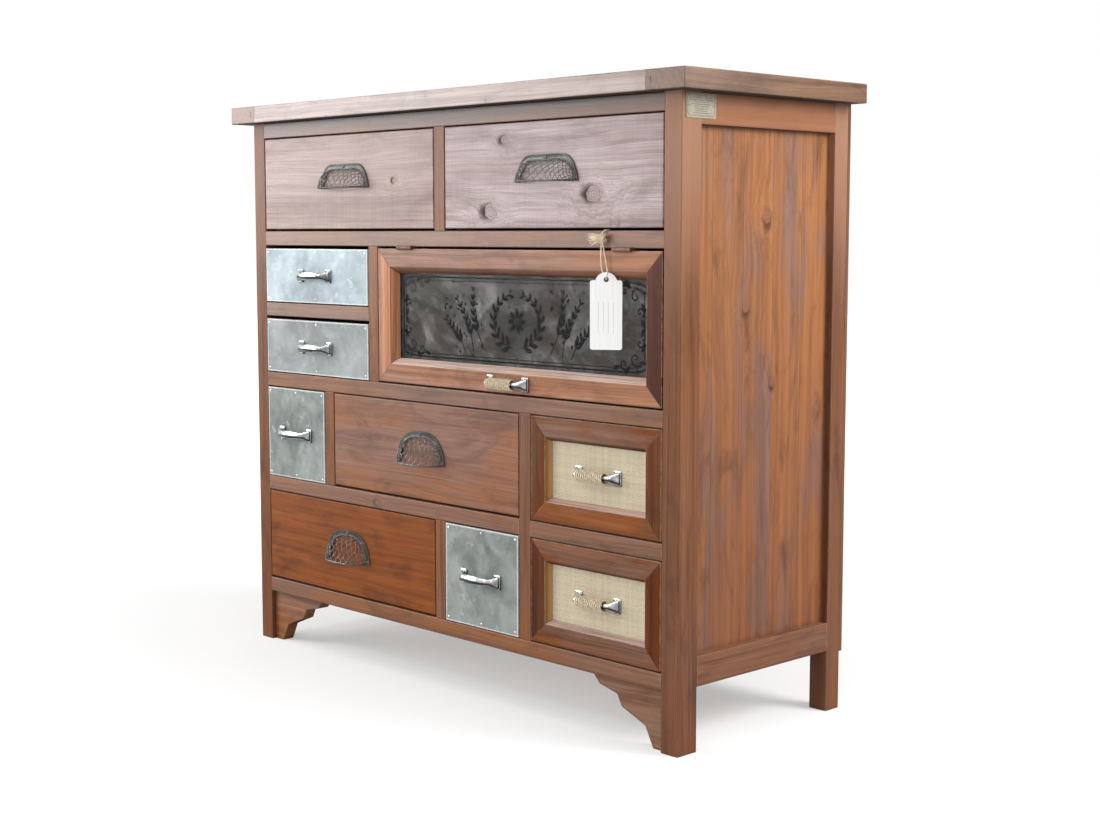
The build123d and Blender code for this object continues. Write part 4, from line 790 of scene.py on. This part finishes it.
def cupPull(name, node, body, look):
    middle, boxHalf = boxOf(node)
    middle = np.array([middle[0], faceY, middle[2] - boxHalf[2]])
    half, height, rim, overlap = look["half"], look["height"], cupMake["rim"], cupMake["overlap"]
    right = np.array(look["shape"], dtype=float)
    edge = smoothPath(np.concatenate([right, right[-2::-1] * np.array([-1.0, 1.0])]), 401)
    edgeShare = np.linspace(0, 1, 401)

    def outline(at, halfSize, topSize):
        # the smooth arch through the shape's knots, from its right tip (0) to its left tip (1)
        x, z = np.interp(at, edgeShare, edge[:, 0]), np.interp(at, edgeShare, edge[:, 1])
        return halfSize * x, topSize * np.clip(z, 0, 1)

    def dome(at, beta):
        # the inner arch swung forwards: its height turns by beta from upright to straight out
        at, beta = np.broadcast_arrays(at, beta)
        x, z = outline(at, half - rim + overlap, 1.0)
        out = -cupMake["reach"] * z * np.sin(beta) - cupMake["stand"]
        return together(x, out, (height - rim + overlap) * z * np.cos(beta))

    # rim: all round the arch its profile runs from the outer to the inner outline and back behind it
    at = np.linspace(0, 1, 81)[:, None]
    share, out = np.array(cupRim["share"]), np.array(cupRim["out"]) * mm
    outerX, outerZ = outline(at, half, height)
    innerX, innerZ = outline(at, half - rim, height - rim)
    rimX, rimZ = outerX + share * (innerX - outerX), outerZ + share * (innerZ - outerZ)
    rimGrid = together(rimX, -out, rimZ)
    ends = np.broadcast_to(rimGrid[[0, -1], :-1].mean(axis=1, keepdims=True), (2,) + rimGrid.shape[1:])
    rimGrid = np.concatenate([ends[:1], rimGrid, ends[1:]])

    # wires: lines that slant both ways over the dome, with a slight waver
    step = np.linspace(0, 1, 26)
    starts = np.linspace(-0.08, 1.08, look["wires"])[:, None]
    waver = 0.006 * np.sin(21.0 * step + 17.0 * starts)
    wires = []
    for slant in (look["slant"], -look["slant"]):
        across = np.clip(starts + slant * (step - 0.5) + waver, 0.02, 0.98)
        wires.append(tubes(dome(across, 0.02 + step * (np.pi / 2 - 0.04)), cupMake["wire"], sides=5))

    # lip: a round bar along the front edge, swelling into beads
    along = np.linspace(0.0, 1.0, 181)
    bead = cupMake["lip"] * (0.8 + 0.3 * np.abs(np.sin(along * np.pi * cupMake["beads"] / 2.0)))
    front = dome(along, np.full_like(along, np.pi / 2))[None] + np.array([0.0, 0.0, overlap])
    lip = tubes(front, bead, sides=8, guide=(0.0, 0.0, 1.0))
    inRim, seat = rim / 2, -1.5 * mm
    heads = [(0.0, seat, height - inRim), (inRim - half, seat, inRim), (half - inRim, seat, inRim)]
    screws = domes(heads, **cupMake["screw"])
    grids = [(rimGrid + middle, 0)] + [(wire + middle, 1) for wire in wires]
    grids += [(lip + middle, 2), (screws + middle, 1)]
    return seatPiece(surfacePiece(name, grids, [antiqueIron, wornIron, wornIron]), body, "antique_iron", node)


cups = {"upper_left": wideCup, "upper_right": wideCup, "middle": roundCup, "lower_left": roundCup}
for place, look in cups.items():
    cupPull(place + "_drawer_cup", place + "_drawer_cup_pull", place + "_drawer", look)
print("cup pulls made")


# bow pulls: one profile carried from foot to foot, square at the feet, oval along the bar
pullMake = dict(feet=33 * mm, screw=dict(radius=3.6 * mm, height=1.9 * mm, slotWidth=0.8 * mm), screwSunk=2.4 * mm)
bowBar = dict(neck=14 * mm, end=12.5 * mm, middle=14 * mm, endSize=(3.6, 5.0), middleSize=(4.4, 6.1))
gripBar = dict(neck=8.5 * mm, end=14 * mm, middle=14 * mm, endSize=(3.3, 3.8), middleSize=(4.2, 4.2))


def pullShape(look):
    # half of the stations: distance along, distance out, half thickness, half height, squareness;
    # a smooth line through them carries a ring, (cos a)^(2 / squareness) by (sin a)^(2 / squareness)
    foot, end, neck = pullMake["feet"], look["end"], look["neck"]
    half = np.array([
        (foot, 0.0, 6.0, 9.5, 9.0),
        (foot, 1.9 * mm, 6.0, 9.5, 9.0),
        (foot, 2.5 * mm, 5.1, 8.5, 8.0),
        (foot, 3.7 * mm, 4.6, 7.7, 6.0),
        (foot - 0.12 * neck, 0.5 * end, 3.4, 6.3, 3.6),
        (foot - 0.5 * neck, 0.86 * end, 3.0, 4.4, 2.4),
        (foot - neck, end, *look["endSize"], 2.0),
    ])
    centre = np.array([[0.0, look["middle"], *look["middleSize"], 2.0]])
    mirrorHalf = half[::-1] * np.array([-1.0, 1.0, 1.0, 1.0, 1.0])
    x, out, thick, high, square = smoothPath(np.concatenate([half, centre, mirrorHalf]), 121).T
    way = unit(np.gradient(together(x, out), axis=0))
    across, up = boxedRing(fullTurn(32), (2.0 / square)[:, None])
    across, up = (thick * mm)[:, None] * across, (high * mm)[:, None] * up
    grid = together(x[:, None] - way[:, 1:] * across, -(out[:, None] + way[:, :1] * across), up)
    grid[:, :, 1] = np.minimum(grid[:, :, 1], 0.0)
    tips = np.broadcast_to(together(x, -out, 0.0)[[0, -1], None], (2,) + grid.shape[1:])
    return np.concatenate([tips[:1], grid, tips[1:]])


def pullPiece(name, node, body, look, seatDepth):
    # the bar on its seat, and the screw heads that hold it from inside the drawer
    boxMiddle, boxHalf = boxOf(node)
    middle = np.array([boxMiddle[0], faceY + seatDepth, boxMiddle[2]])
    back = boxMiddle[1] + boxHalf[1] - middle[1] - pullMake["screwSunk"]
    spots = np.array([(sign * pullMake["feet"], back, 0.0) for sign in (-1, 1)])
    heads = domes([(0.0, 0.0, 0.0)], **pullMake["screw"])
    inside = spots[:, None, None] + heads * np.array([1.0, -1.0, 1.0])
    grids = [(pullShape(look) + middle, 0), (inside + middle, 1)]
    return seatPiece(surfacePiece(name, grids, [chrome, hingeSteel]), body, "pull_chrome", node)


for body in zincDrawers:
    pullPiece(body + "_bow", body + "_bow_pull", body, bowBar, -1.0 * mm)  # on the sheet, 1 mm before the face

# rope on three of the pulls: three yarns twisted into a cord that winds round the grip, and loose fibres
ropeMake = dict(
    turns=14, steps=46, pitch=3.35 * mm, ring=6.02 * mm, uneven=0.12 * mm, reach=14 * mm,
    yarn=0.7 * mm, spread=0.6 * mm, lay=5.6 * mm,
    fibres=190, fibreLength=(2.0 * mm, 5.5 * mm), fibreRadius=0.07 * mm,
)


def ropeWinding(name, node, body, seatDepth, seed):
    boxMiddle, _ = boxOf(node)
    middle = np.array([boxMiddle[0], faceY + seatDepth - ropeMake["reach"], boxMiddle[2]])
    spread, yarn, turns = ropeMake["spread"], ropeMake["yarn"], ropeMake["turns"]
    # cord: a helix about the grip; each yarn is a finer helix about the cord's line
    t = np.linspace(0, 2 * np.pi * turns, ropeMake["steps"] * turns)
    advance = (t / (2 * np.pi) - turns / 2) * ropeMake["pitch"]
    ring = ropeMake["ring"] + ropeMake["uneven"] * np.sin(2.3 * t)
    outward = together(0.0, np.cos(t), np.sin(t))
    line = together(advance, 0.0, 0.0) + ring[:, None] * outward
    way = unit(np.gradient(line, axis=0))
    level = np.cross(way, outward)
    turned = t * ropeMake["ring"] / ropeMake["lay"] * 2 * np.pi / 3.0
    phase = turned[None] + np.array([0.0, 2.0, 4.0])[:, None] * np.pi / 3
    yarns = line + spread * (np.cos(phase)[..., None] * outward + np.sin(phase)[..., None] * level)
    yarnGrids = tubes(yarns, yarn, sides=6, guide=(1.0, 0.0, 0.0))
    # loose fibres: short curved hairs that leave the cord at a slant
    draw = np.random.default_rng(seed)
    count = ropeMake["fibres"]
    root = draw.integers(6, len(t) - 6, count)
    lean = outward[root] * draw.uniform(0.5, 1.0, (count, 1))
    lean = lean + way[root] * draw.uniform(-0.9, 0.9, (count, 1))
    lean = lean + level[root] * draw.uniform(-0.7, 0.7, (count, 1))
    curl = draw.normal(0, 1, (count, 3))
    size = draw.uniform(*ropeMake["fibreLength"], (count, 1))
    s = np.linspace(0, 1, 5)[None, :, None]
    base = line[root] + outward[root] * (spread + 0.5 * yarn)
    hairs = base[:, None] + s * (size * unit(lean))[:, None] + s**2 * (0.35 * size * curl)[:, None]
    hairGrids = tubes(hairs, ropeMake["fibreRadius"] * (1 - 0.7 * np.linspace(0, 1, 5)), sides=3)
    piece = surfacePiece(name, [yarnGrids + middle, hairGrids + middle], ropeFibre, sharp=70)
    # how far each point stands out of the grooves, for the finish to paint shade in them
    points = np.empty(3 * len(piece.data.vertices))
    piece.data.vertices.foreach_get("co", points)
    out = np.hypot(*(points.reshape(-1, 3) - middle)[:, 1:].T)
    standing = piece.data.attributes.new("standing", "FLOAT", "POINT")
    standing.data.foreach_set("value", np.clip((out - ropeMake["ring"] + spread) / (2 * spread + yarn), 0, 1))
    return seatPiece(piece, body, "jute_rope", node)


grips = {"burlap_upper": (panelDepth, 11), "burlap_lower": (panelDepth, 12), "flap": (0.0, 13)}  # depth, seed
for body, (seatDepth, seed) in grips.items():
    pullPiece(body + "_grip", body + "_pull", body, gripBar, seatDepth)
    ropeWinding(body + "_winding", body + "_rope", body, seatDepth, seed)
print("pulls and rope made")


# burlap: a cloth sheet over each panel, its threads lifting and dipping as they cross
clothMake = dict(frame=30 * mm, stand=0.55 * mm, samples=5, edge=0.3 * mm, slack=0.12 * mm)


def burlapSheet(name, body):
    # plain weave: the thread that is on top alternates like a chequer, sin across times sin up,
    # and slack makes long shallow waves
    middle, half = boxOf(body + "_frame")
    width, height = 2 * half[0] - 2 * clothMake["frame"], 2 * half[2] - 2 * clothMake["frame"]
    pitch = weave["pitch"]
    columns, rows = int(clothMake["samples"] * width / pitch), int(clothMake["samples"] * height / pitch)
    x = middle[0] + np.linspace(-0.5, 0.5, columns)[None] * (width - clothMake["edge"])
    z = middle[2] + np.linspace(-0.5, 0.5, rows)[:, None] * (height - clothMake["edge"])
    weaveLift = weave["lift"] * np.sin(np.pi * x / pitch) * np.sin(np.pi * z / pitch)
    slack = clothMake["slack"] * np.sin(31.0 * x + 3.0) * np.sin(47.0 * z + 1.0)
    y = faceY + panelDepth - clothMake["stand"] - weaveLift - slack
    piece = surfacePiece(name, [together(x, y, z)[:, ::-1]], burlapCloth, closed=False, sharp=180)
    seatPiece(piece, body, "burlap")


burlapSheet("burlap_upper_cloth", "burlap_upper")
burlapSheet("burlap_lower_cloth", "burlap_lower")
print("burlap made")

# tacks that hold the zinc sheets
tackMake = dict(inset=5.5 * mm, head=dict(radius=1.5 * mm, height=0.6 * mm))
for body in zincDrawers:
    middle, half = boxOf(body + "_sheet")
    x, z = half[0] - tackMake["inset"], half[2] - tackMake["inset"]
    spots = middle + np.array([(i * x, -half[1], k * z) for i in (-1, 0, 1) for k in (-1, 1)])
    tacks = surfacePiece(body + "_tacks", [domes(spots, **tackMake["head"])], tackSteel)
    seatPiece(tacks, body, "bright_zinc" if body.startswith("small") else "dull_zinc")


# pane and its print: a wreath round a flower, ears of grain among strewn seeds, scrolls in the corners
# and two lines round the border
paneMake = dict(frame=33 * mm, front=12 * mm, thick=2.6 * mm, held=5.5 * mm, bevel=0.2 * mm, gap=0.1 * mm)
paneOrnament = dict(
    depth=14.85 * mm, film=0.08 * mm, stem=1.6 * mm, wreath=(44 * mm, 35 * mm), petals=8, petal=14 * mm, seeds=46,
    wreathLeaves=(9, 17 * mm, 0.72, 0.38), earLeaves=(6, 14 * mm, 0.62, 0.36),  # number, length, lean, fatness
    ears=[((62, -40), (84, 38), 8), ((84, -42), (116, 26), -7), ((100, -44), (138, -2), -6)],  # root, tip, bend
    lines=((4.5, 2.2), (9.0, 1.1)), lineCorner=0.12,  # inset and width of each line
    corner=(23 * mm, 21 * mm), scrollTurns=1.35, scrollWidth=2.6 * mm,
    scrolls=[((0, 0), 10.5, 0.2), ((-19, 7), 6.5, 1.3), ((7, -19), 6.5, -0.9)],  # place, size, tilt
    cornerLeaves=[
        (-8, 9, 2.6, 12), (-13, 11, 2.1, 10), (9, -8, -1.1, 12), (11, -14, -0.6, 10),
        (3, 11, 1.3, 8), (11, 3, 0.3, 8), (-26, 9, 2.9, 13), (9, -26, -1.3, 13),
    ],  # place, angle, length
)
frameMiddle, frameHalf = boxOf("flap_frame")
paneMiddle, paneHalf = frameMiddle[[0, 2]], frameHalf[[0, 2]] - paneMake["frame"]


def slab(half, nearY, farY, bevel):
    # a flat pane as rings: back middle, back edge, front edge, bevel, front middle, each ring a rectangle
    corner = np.array([(-1, -1), (1, -1), (1, 1), (-1, 1), (-1, -1)], dtype=float)
    flat = corner[None] * np.array([0 * half, half, half, half - bevel, 0 * half])[:, None]
    depth = np.array([farY, farY, nearY + bevel, nearY, nearY])[:, None]
    return together(flat[..., 0], depth, flat[..., 1])


glassFront, glassBack = paneMake["front"] + paneMake["gap"], paneMake["front"] + paneMake["thick"]
glassGrid = slab(paneHalf + paneMake["held"], glassFront, glassBack, paneMake["bevel"])
glassGrid = glassGrid + np.array([paneMiddle[0], faceY, paneMiddle[1]])
seatPiece(surfacePiece("flap_pane", [glassGrid], clearPane, sharp=20), "flap", "glass", "flap_glass")


def ribbon(line, width):
    # a flat strip along a line in the plane: the line plus and minus half its width to either side
    line = np.asarray(line, dtype=float)
    way = unit(np.gradient(line, axis=-2))
    side = together(-way[..., 1], way[..., 0])
    reach = np.broadcast_to(width, line.shape[:-1])[..., None, None] * np.linspace(-0.5, 0.5, 3)[:, None]
    return line[..., None, :] + reach * side[..., None, :]


def leaves(roots, angles, lengths, fat):
    # pointed leaves: along a slightly bent midrib the width rises and falls as (sin pi t)^0.8
    t = np.linspace(0.0, 1.0, 13)
    bend = angles[:, None] + 0.35 * t * np.sign(np.cos(angles))[:, None]
    step = together(np.cos(bend), np.sin(bend)) * (lengths[:, None, None] / 12)
    line = roots[:, None] + np.cumsum(step, axis=1) - step[:, :1]
    return ribbon(line, fat * lengths[:, None] * np.sin(np.pi * np.clip(t, 0.001, 0.999)) ** 0.8)


def scroll(size):
    # a spiral that winds in: radius falls with the angle, and so does the ribbon
    t = np.linspace(0, 1, 60)
    angle, radius = 2 * np.pi * paneOrnament["scrollTurns"] * t, size * (1 - t) ** 1.3 + 0.04 * size
    line = together(radius * np.cos(angle), radius * np.sin(angle))
    return ribbon(line, paneOrnament["scrollWidth"] * (1 - 0.6 * t))


def paneCorners():
    # three scrolls and a few leaves, the same in each corner but mirrored
    reach, corner = paneHalf - np.array(paneOrnament["corner"]), []
    for at, size, tilt in paneOrnament["scrolls"]:
        turn = np.array([[math.cos(tilt), -math.sin(tilt)], [math.sin(tilt), math.cos(tilt)]])
        corner.append(scroll(size * mm) @ turn.T + np.array(at) * mm + reach)
    x, z, angles, lengths = np.array(paneOrnament["cornerLeaves"], dtype=float).T
    corner.append(leaves(together(x, z) * mm, angles, lengths * mm, 0.42) + reach)
    return [part * np.array([sx, sz]) for sx in (-1, 1) for sz in (-1, 1) for part in corner]


def branch(stem, number, length, lean, fat, first=3):
    # a stem with pairs of leaves that lean forwards from it, shorter towards the tip
    pick = np.linspace(first, len(stem) - 2, number).astype(int)
    way = np.gradient(stem, axis=0)[pick]
    heading = np.arctan2(way[:, 1], way[:, 0])
    sizes = length * np.linspace(1.0, 0.6, number)
    pairs = [leaves(stem[pick], heading + side * lean, sizes, fat) for side in (-1, 1)]
    return [ribbon(stem, paneOrnament["stem"])] + pairs


def paneWreath():
    # two leafy branches round an oval, and a flower inside
    turn = np.radians(np.linspace(-80, 74, 60))
    half = np.array(paneOrnament["wreath"]) * together(np.cos(turn), np.sin(turn))
    parts = [part for side in (1.0, -1.0) for part in branch(half * (side, 1.0), *paneOrnament["wreathLeaves"])]
    count = paneOrnament["petals"]
    petal = np.linspace(0, 2 * np.pi, count + 1)[:-1]
    root = 3.2 * mm * together(np.cos(petal), np.sin(petal))
    lean = petal - 0.17 * np.sign(np.cos(petal))  # half the leaf's own bend, so that petals stand even
    parts.append(leaves(root, lean, np.full(count, paneOrnament["petal"]), 0.46))
    ring = np.linspace(0, 2 * np.pi, 25)
    return parts + [together(np.cos(ring), np.sin(ring))[None] * np.array([0.0, 2.4 * mm])[:, None, None]]


def paneEars():
    # ears of grain on bent stalks, three on either side, with seeds strewn between them
    parts, draw = [], np.random.default_rng(5)
    t = np.linspace(0, 1, 50)
    for root, tip, bend in paneOrnament["ears"]:
        x = root[0] + (tip[0] - root[0]) * t + bend * np.sin(np.pi * t)
        line = together(x, root[1] + (tip[1] - root[1]) * t) * mm
        for side in (-1, 1):
            parts += branch(line * (side, 1.0), *paneOrnament["earLeaves"], first=16)
    count = paneOrnament["seeds"]
    x = draw.uniform(62, 150, count) * np.where(np.arange(count) % 2, 1, -1)
    spots = together(x, draw.uniform(-46, 46, count)) * mm
    parts.append(leaves(spots, draw.uniform(-3, 3, count), draw.uniform(5.0, 7.5, count) * mm, 0.5))
    return parts


def paneBorder():
    # fine lines round the pane: rounded rectangles
    box = together(*boxedRing(np.linspace(0, 2 * np.pi, 160), paneOrnament["lineCorner"]))
    return [ribbon(box * (paneHalf - inset * mm), width * mm) for inset, width in paneOrnament["lines"]]


printGrids = []
for part in paneCorners() + paneWreath() + paneEars() + paneBorder():
    flat = np.asarray(part) + paneMiddle
    printGrids.append(together(flat[..., 0], faceY + paneOrnament["depth"], flat[..., 1]))
printPiece = surfacePiece("flap_print", printGrids, printInk, closed=False)
thicken = printPiece.modifiers.new("inkFilm", "SOLIDIFY")
thicken.thickness, thicken.offset = paneOrnament["film"], 0.0
seatPiece(printPiece, "flap", "zinc_print")
print("flap pane and print made")

# side plate's trim: a thin raised border, a round bead carried along a rounded rectangle, and two pins
plateMake = dict(
    inset=2.2 * mm, bead=0.45 * mm, corner=0.22, pin=dict(radius=1.1 * mm, height=0.5 * mm), pinInset=5 * mm,
)
middle, half = boxOf("side_plate")
plateMiddle, plateHalf = middle + np.array([half[0], 0.0, 0.0]), half[1:]
edgeLine = together(*boxedRing(fullTurn(96), plateMake["corner"])) * (plateHalf - plateMake["inset"])
outwards = unit(edgeLine)
around = fullTurn(8)
bead = together(np.sin(around), np.cos(around) * outwards[:, :1], np.cos(around) * outwards[:, 1:])
border = np.insert(edgeLine, 0, 0.0, axis=1)[:, None] + plateMake["bead"] * bead
pins = domes([(0.0, 0.0, 0.0)], **plateMake["pin"])[..., [1, 0, 2]] * np.array([-1.0, 1.0, 1.0])
pinSpots = np.array([(0.0, sign * (plateHalf[0] - plateMake["pinInset"]), 0.0) for sign in (-1, 1)])
trimGrids = [border + plateMiddle, pins + pinSpots[:, None, None] + plateMiddle]
seatPiece(surfacePiece("side_plate_trim", trimGrids, trimBrass), "cabinet", "plate_brass")

# hang tag's twine: the route is a NURBS line from the knot through the hole and back
twineMake = dict(
    radius=0.9 * mm, lay=4.4 * mm, knot=(304.77 * mm, faceY - 4.8 * mm, 609.0 * mm),
    atHole=2.6 * mm, atKnot=1.3 * mm,  # how far each half stands before or behind them
    bows=((1, 0.24, 0.4 * mm, 4.0 * mm), (-1, 0.3, 0.2 * mm, 7.0 * mm)),  # side, share of the way up, out, across
    tail=[(0.0, 0.0, 4.8), (0.6, 1.6, 10.2), (1.8, 11.8, 10.2)],  # millimetres from the knot
)
knot, hole, yaw = np.array(twineMake["knot"]), np.array(tagLook["hole"]), tagLook["yaw"]
tagOut = np.array([math.sin(yaw), -math.cos(yaw), 0.0])
tagSide = np.array([math.cos(yaw), math.sin(yaw), 0.0])
halves = []
for side, share, out, across in twineMake["bows"]:
    atHole, atKnot = hole + side * twineMake["atHole"] * tagOut, knot + side * twineMake["atKnot"] * tagOut
    halves.append([atKnot, atHole + share * (atKnot - atHole) + side * (out * tagOut + across * tagSide), atHole])
twineRoute = halves[0] + halves[1][::-1]


def splineLine(name, route):
    # points along a NURBS line with the route's points as its control points
    curve = bpy.data.curves.new(name, "CURVE")
    curve.dimensions = "3D"
    spline = curve.splines.new("NURBS")
    spline.points.add(len(route) - 1)
    for point, at in zip(spline.points, route):
        point.co = (*[float(v) for v in at], 1.0)
    spline.order_u = 3
    spline.use_endpoint_u = True
    spline.resolution_u = 16
    holder = bpy.data.objects.new(name, curve)
    scene.collection.objects.link(holder)
    bpy.context.view_layer.update()
    mesh = bpy.data.meshes.new_from_object(holder.evaluated_get(bpy.context.evaluated_depsgraph_get()))
    line = np.empty(3 * len(mesh.vertices), dtype=np.float32)
    mesh.vertices.foreach_get("co", line)
    bpy.data.objects.remove(holder)
    bpy.data.meshes.remove(mesh)
    return line.reshape(-1, 3).astype(float)


def twisted(line, radius, lay, steps=150, guide=(0.92, 0.31, 0.17)):
    # two yarns wound about a line: the line plus half the radius outwards at an angle that grows with length
    length = np.concatenate([[0.0], np.cumsum(np.linalg.norm(np.diff(line, axis=0), axis=1))])
    at = np.linspace(0, length[-1], steps)
    line = together(*(np.interp(at, length, part) for part in line.T))
    way = unit(np.gradient(line, axis=0))
    side = unit(np.cross(way, np.broadcast_to(guide, way.shape)))
    up = np.cross(side, way)
    phase = 2 * np.pi * at / lay + np.array([0.0, np.pi])[:, None]
    yarns = line + 0.5 * radius * (np.cos(phase)[..., None] * side + np.sin(phase)[..., None] * up)
    return tubes(yarns, 0.56 * radius, sides=7, guide=guide)


twineLine = splineLine("twineRoute", twineRoute)
tailLine = splineLine("tailRoute", knot + np.array(twineMake["tail"]) * mm)
twineYarns = twisted(twineLine, twineMake["radius"], twineMake["lay"])
tailYarns = twisted(tailLine, twineMake["radius"], twineMake["lay"], 40)
twine = seatPiece(surfacePiece("tag_cord", [twineYarns], twineFibre, sharp=70), "tag", "twine", "tag_twine")
tail = seatPiece(surfacePiece("tag_cord_end", [tailYarns], twineFibre, sharp=70), "cabinet", "twine", "tag_tail")

# knot: a trefoil line, x = sin t + 2 sin 2t, z = cos t - 2 cos 2t, y = -1.3 sin 3t, drawn tight, with frayed
# ends to the left and a tuft of short ones about it
knotMake = dict(
    size=1.15 * mm, thick=1.05 * mm, hairs=210, tuft=90, hairRadius=0.24 * mm,
    forward=-6 * mm, backward=3.6 * mm, lowest=-10 * mm, highest=8 * mm,  # how far hairs reach
    swing=math.radians(72.2), room=4.3 * mm,  # the tag's swing, and the room between knot and rail
)
t = np.linspace(0, 2 * np.pi, 141)
trefoil = together(np.sin(t) + 2 * np.sin(2 * t), -1.3 * np.sin(3 * t), np.cos(t) - 2 * np.cos(2 * t))
draw = np.random.default_rng(23)
count, tuft = knotMake["hairs"], knotMake["tuft"]
s = np.linspace(0, 1, 6)[None, :, None]
spray = together(draw.uniform(-23, -4, count), draw.uniform(-3.5, 1.2, count), draw.normal(0.0, 3.6, count))
spray[-tuft:] = together(draw.uniform(-9, 10, tuft), draw.uniform(-3.5, 0.5, tuft), draw.uniform(-6.0, 9.0, tuft))
curl = draw.normal(0, 2.2, (count, 3)) * mm
frayLines = s * spray[:, None] * mm + np.sin(np.pi * s) * curl[:, None] + draw.normal(0, 1.0, (count, 1, 3)) * mm
frayLines[..., 1] = np.clip(frayLines[..., 1], knotMake["forward"], knotMake["backward"])
frayLines[..., 2] = np.clip(frayLines[..., 2], knotMake["lowest"], knotMake["highest"])
# a hair above the knot swings back with the tag, so it is lowered until it stays before the rail
swing, room = knotMake["swing"], knotMake["room"]
back, rise = frayLines[..., 1], np.maximum(frayLines[..., 2], 1e-6)
roomBehind = np.sqrt(np.maximum(room**2 - back**2, 0))
roomUp = np.where(back > 0, roomBehind, (room - math.cos(swing) * back) / math.sin(swing))
frayLines[..., 2] *= np.minimum(1.0, roomUp / rise).min(axis=1, keepdims=True)
hairs = tubes(frayLines, knotMake["hairRadius"] * (1 - 0.6 * np.linspace(0, 1, 6)), sides=3)
knotGrids = [tubes(knotMake["size"] * trefoil, knotMake["thick"], sides=8) + knot, hairs + knot]
knotPiece = seatPiece(surfacePiece("tag_knot", knotGrids, twineFibre, sharp=70), "tag", "twine")
twineLength = float(np.linalg.norm(np.diff(twineLine, axis=0), axis=1).sum())
print("tag and twine made, twine", round(twineLength, 4))

# floor, background and light
studio = dict(ambient=0.36, floorSize=9, floorTone=0.5, shadowLift=0.38, near=0.8, far=2.3)
white = (1.0, 1.0, 1.0, 1.0)
reach, tone = studio["floorSize"], studio["floorTone"]
floorMesh = bpy.data.meshes.new("studioFloor")
floorCorners = [(-reach, -reach, 0), (reach, -reach, 0), (reach, reach, 0), (-reach, reach, 0)]
floorMesh.from_pydata(floorCorners, [], [(0, 1, 2, 3)])
floor = bpy.data.objects.new("studioFloor", floorMesh)
scene.collection.objects.link(floor)
g = FinishGraph("paleFloor")
diffuse = g.add("BsdfDiffuse", {"Color": (tone, tone, tone, 1.0)})
lift = g.remap(g.length(g.place), studio["near"], studio["far"], studio["shadowLift"], 1.0)
glow = g.add("Emission", {"Color": white, "Strength": g.seenDirectly() * lift})
g.add("OutputMaterial", {"Surface": g.add("AddShader", {0: diffuse, 1: glow})})
floorMesh.materials.append(g.owner)

g = FinishGraph("studioWorld", isWorld=True)
around, seen = (g.add("Background", {"Color": white, "Strength": level}) for level in (studio["ambient"], 1.0))
g.add("OutputWorld", {"Surface": g.add("MixShader", {0: g.seenDirectly(), 1: around, 2: seen})})
scene.world = g.owner

lamps = {  # place, aim, width, height, radiance
    "windowLeft": ((-3.05, -2.4, 1.05), (0.0, -0.1, 0.95), 2.6, 1.3, 10.0),
    "highLeft": ((-2.4, -0.75, 2.3), (0.0, -0.1, 0.5), 1.6, 1.0, 5.0),
    "highFront": ((-1.1, -2.2, 2.5), (0.0, -0.15, 0.5), 0.8, 0.6, 15.0),
    "sideHigh": ((1.5, 0.6, 1.15), (0.45, 0.0, 0.6), 0.6, 0.6, 13.0),
    "fillRight": ((2.3, 0.9, 2.0), (0.4, 0.0, 0.6), 1.7, 1.5, 7.0),
    "frontSoft": ((2.2, -2.8, 1.5), (0.2, 0.0, 0.45), 2.0, 1.6, 3.2),
    "topSoft": ((0.3, -0.6, 3.4), (0.0, 0.0, 0.4), 3.0, 2.4, 1.6),
}
for name, (place, aim, width, height, radiance) in lamps.items():
    # a rectangular lamp of even radiance: its power is radiance times area times pi
    lampData = bpy.data.lights.new(name, "AREA")
    lampData.shape = "RECTANGLE"
    lampData.size, lampData.size_y = width, height
    lampData.energy = radiance * width * height * math.pi
    lamp = bpy.data.objects.new(name, lampData)
    x, y, z = np.array(aim) - np.array(place)
    lamp.location = place
    lamp.rotation_euler = (math.pi / 2 + math.atan2(z, math.hypot(x, y)), 0.0, math.atan2(y, x) - math.pi / 2)
    scene.collection.objects.link(lamp)
print("floor and light made")
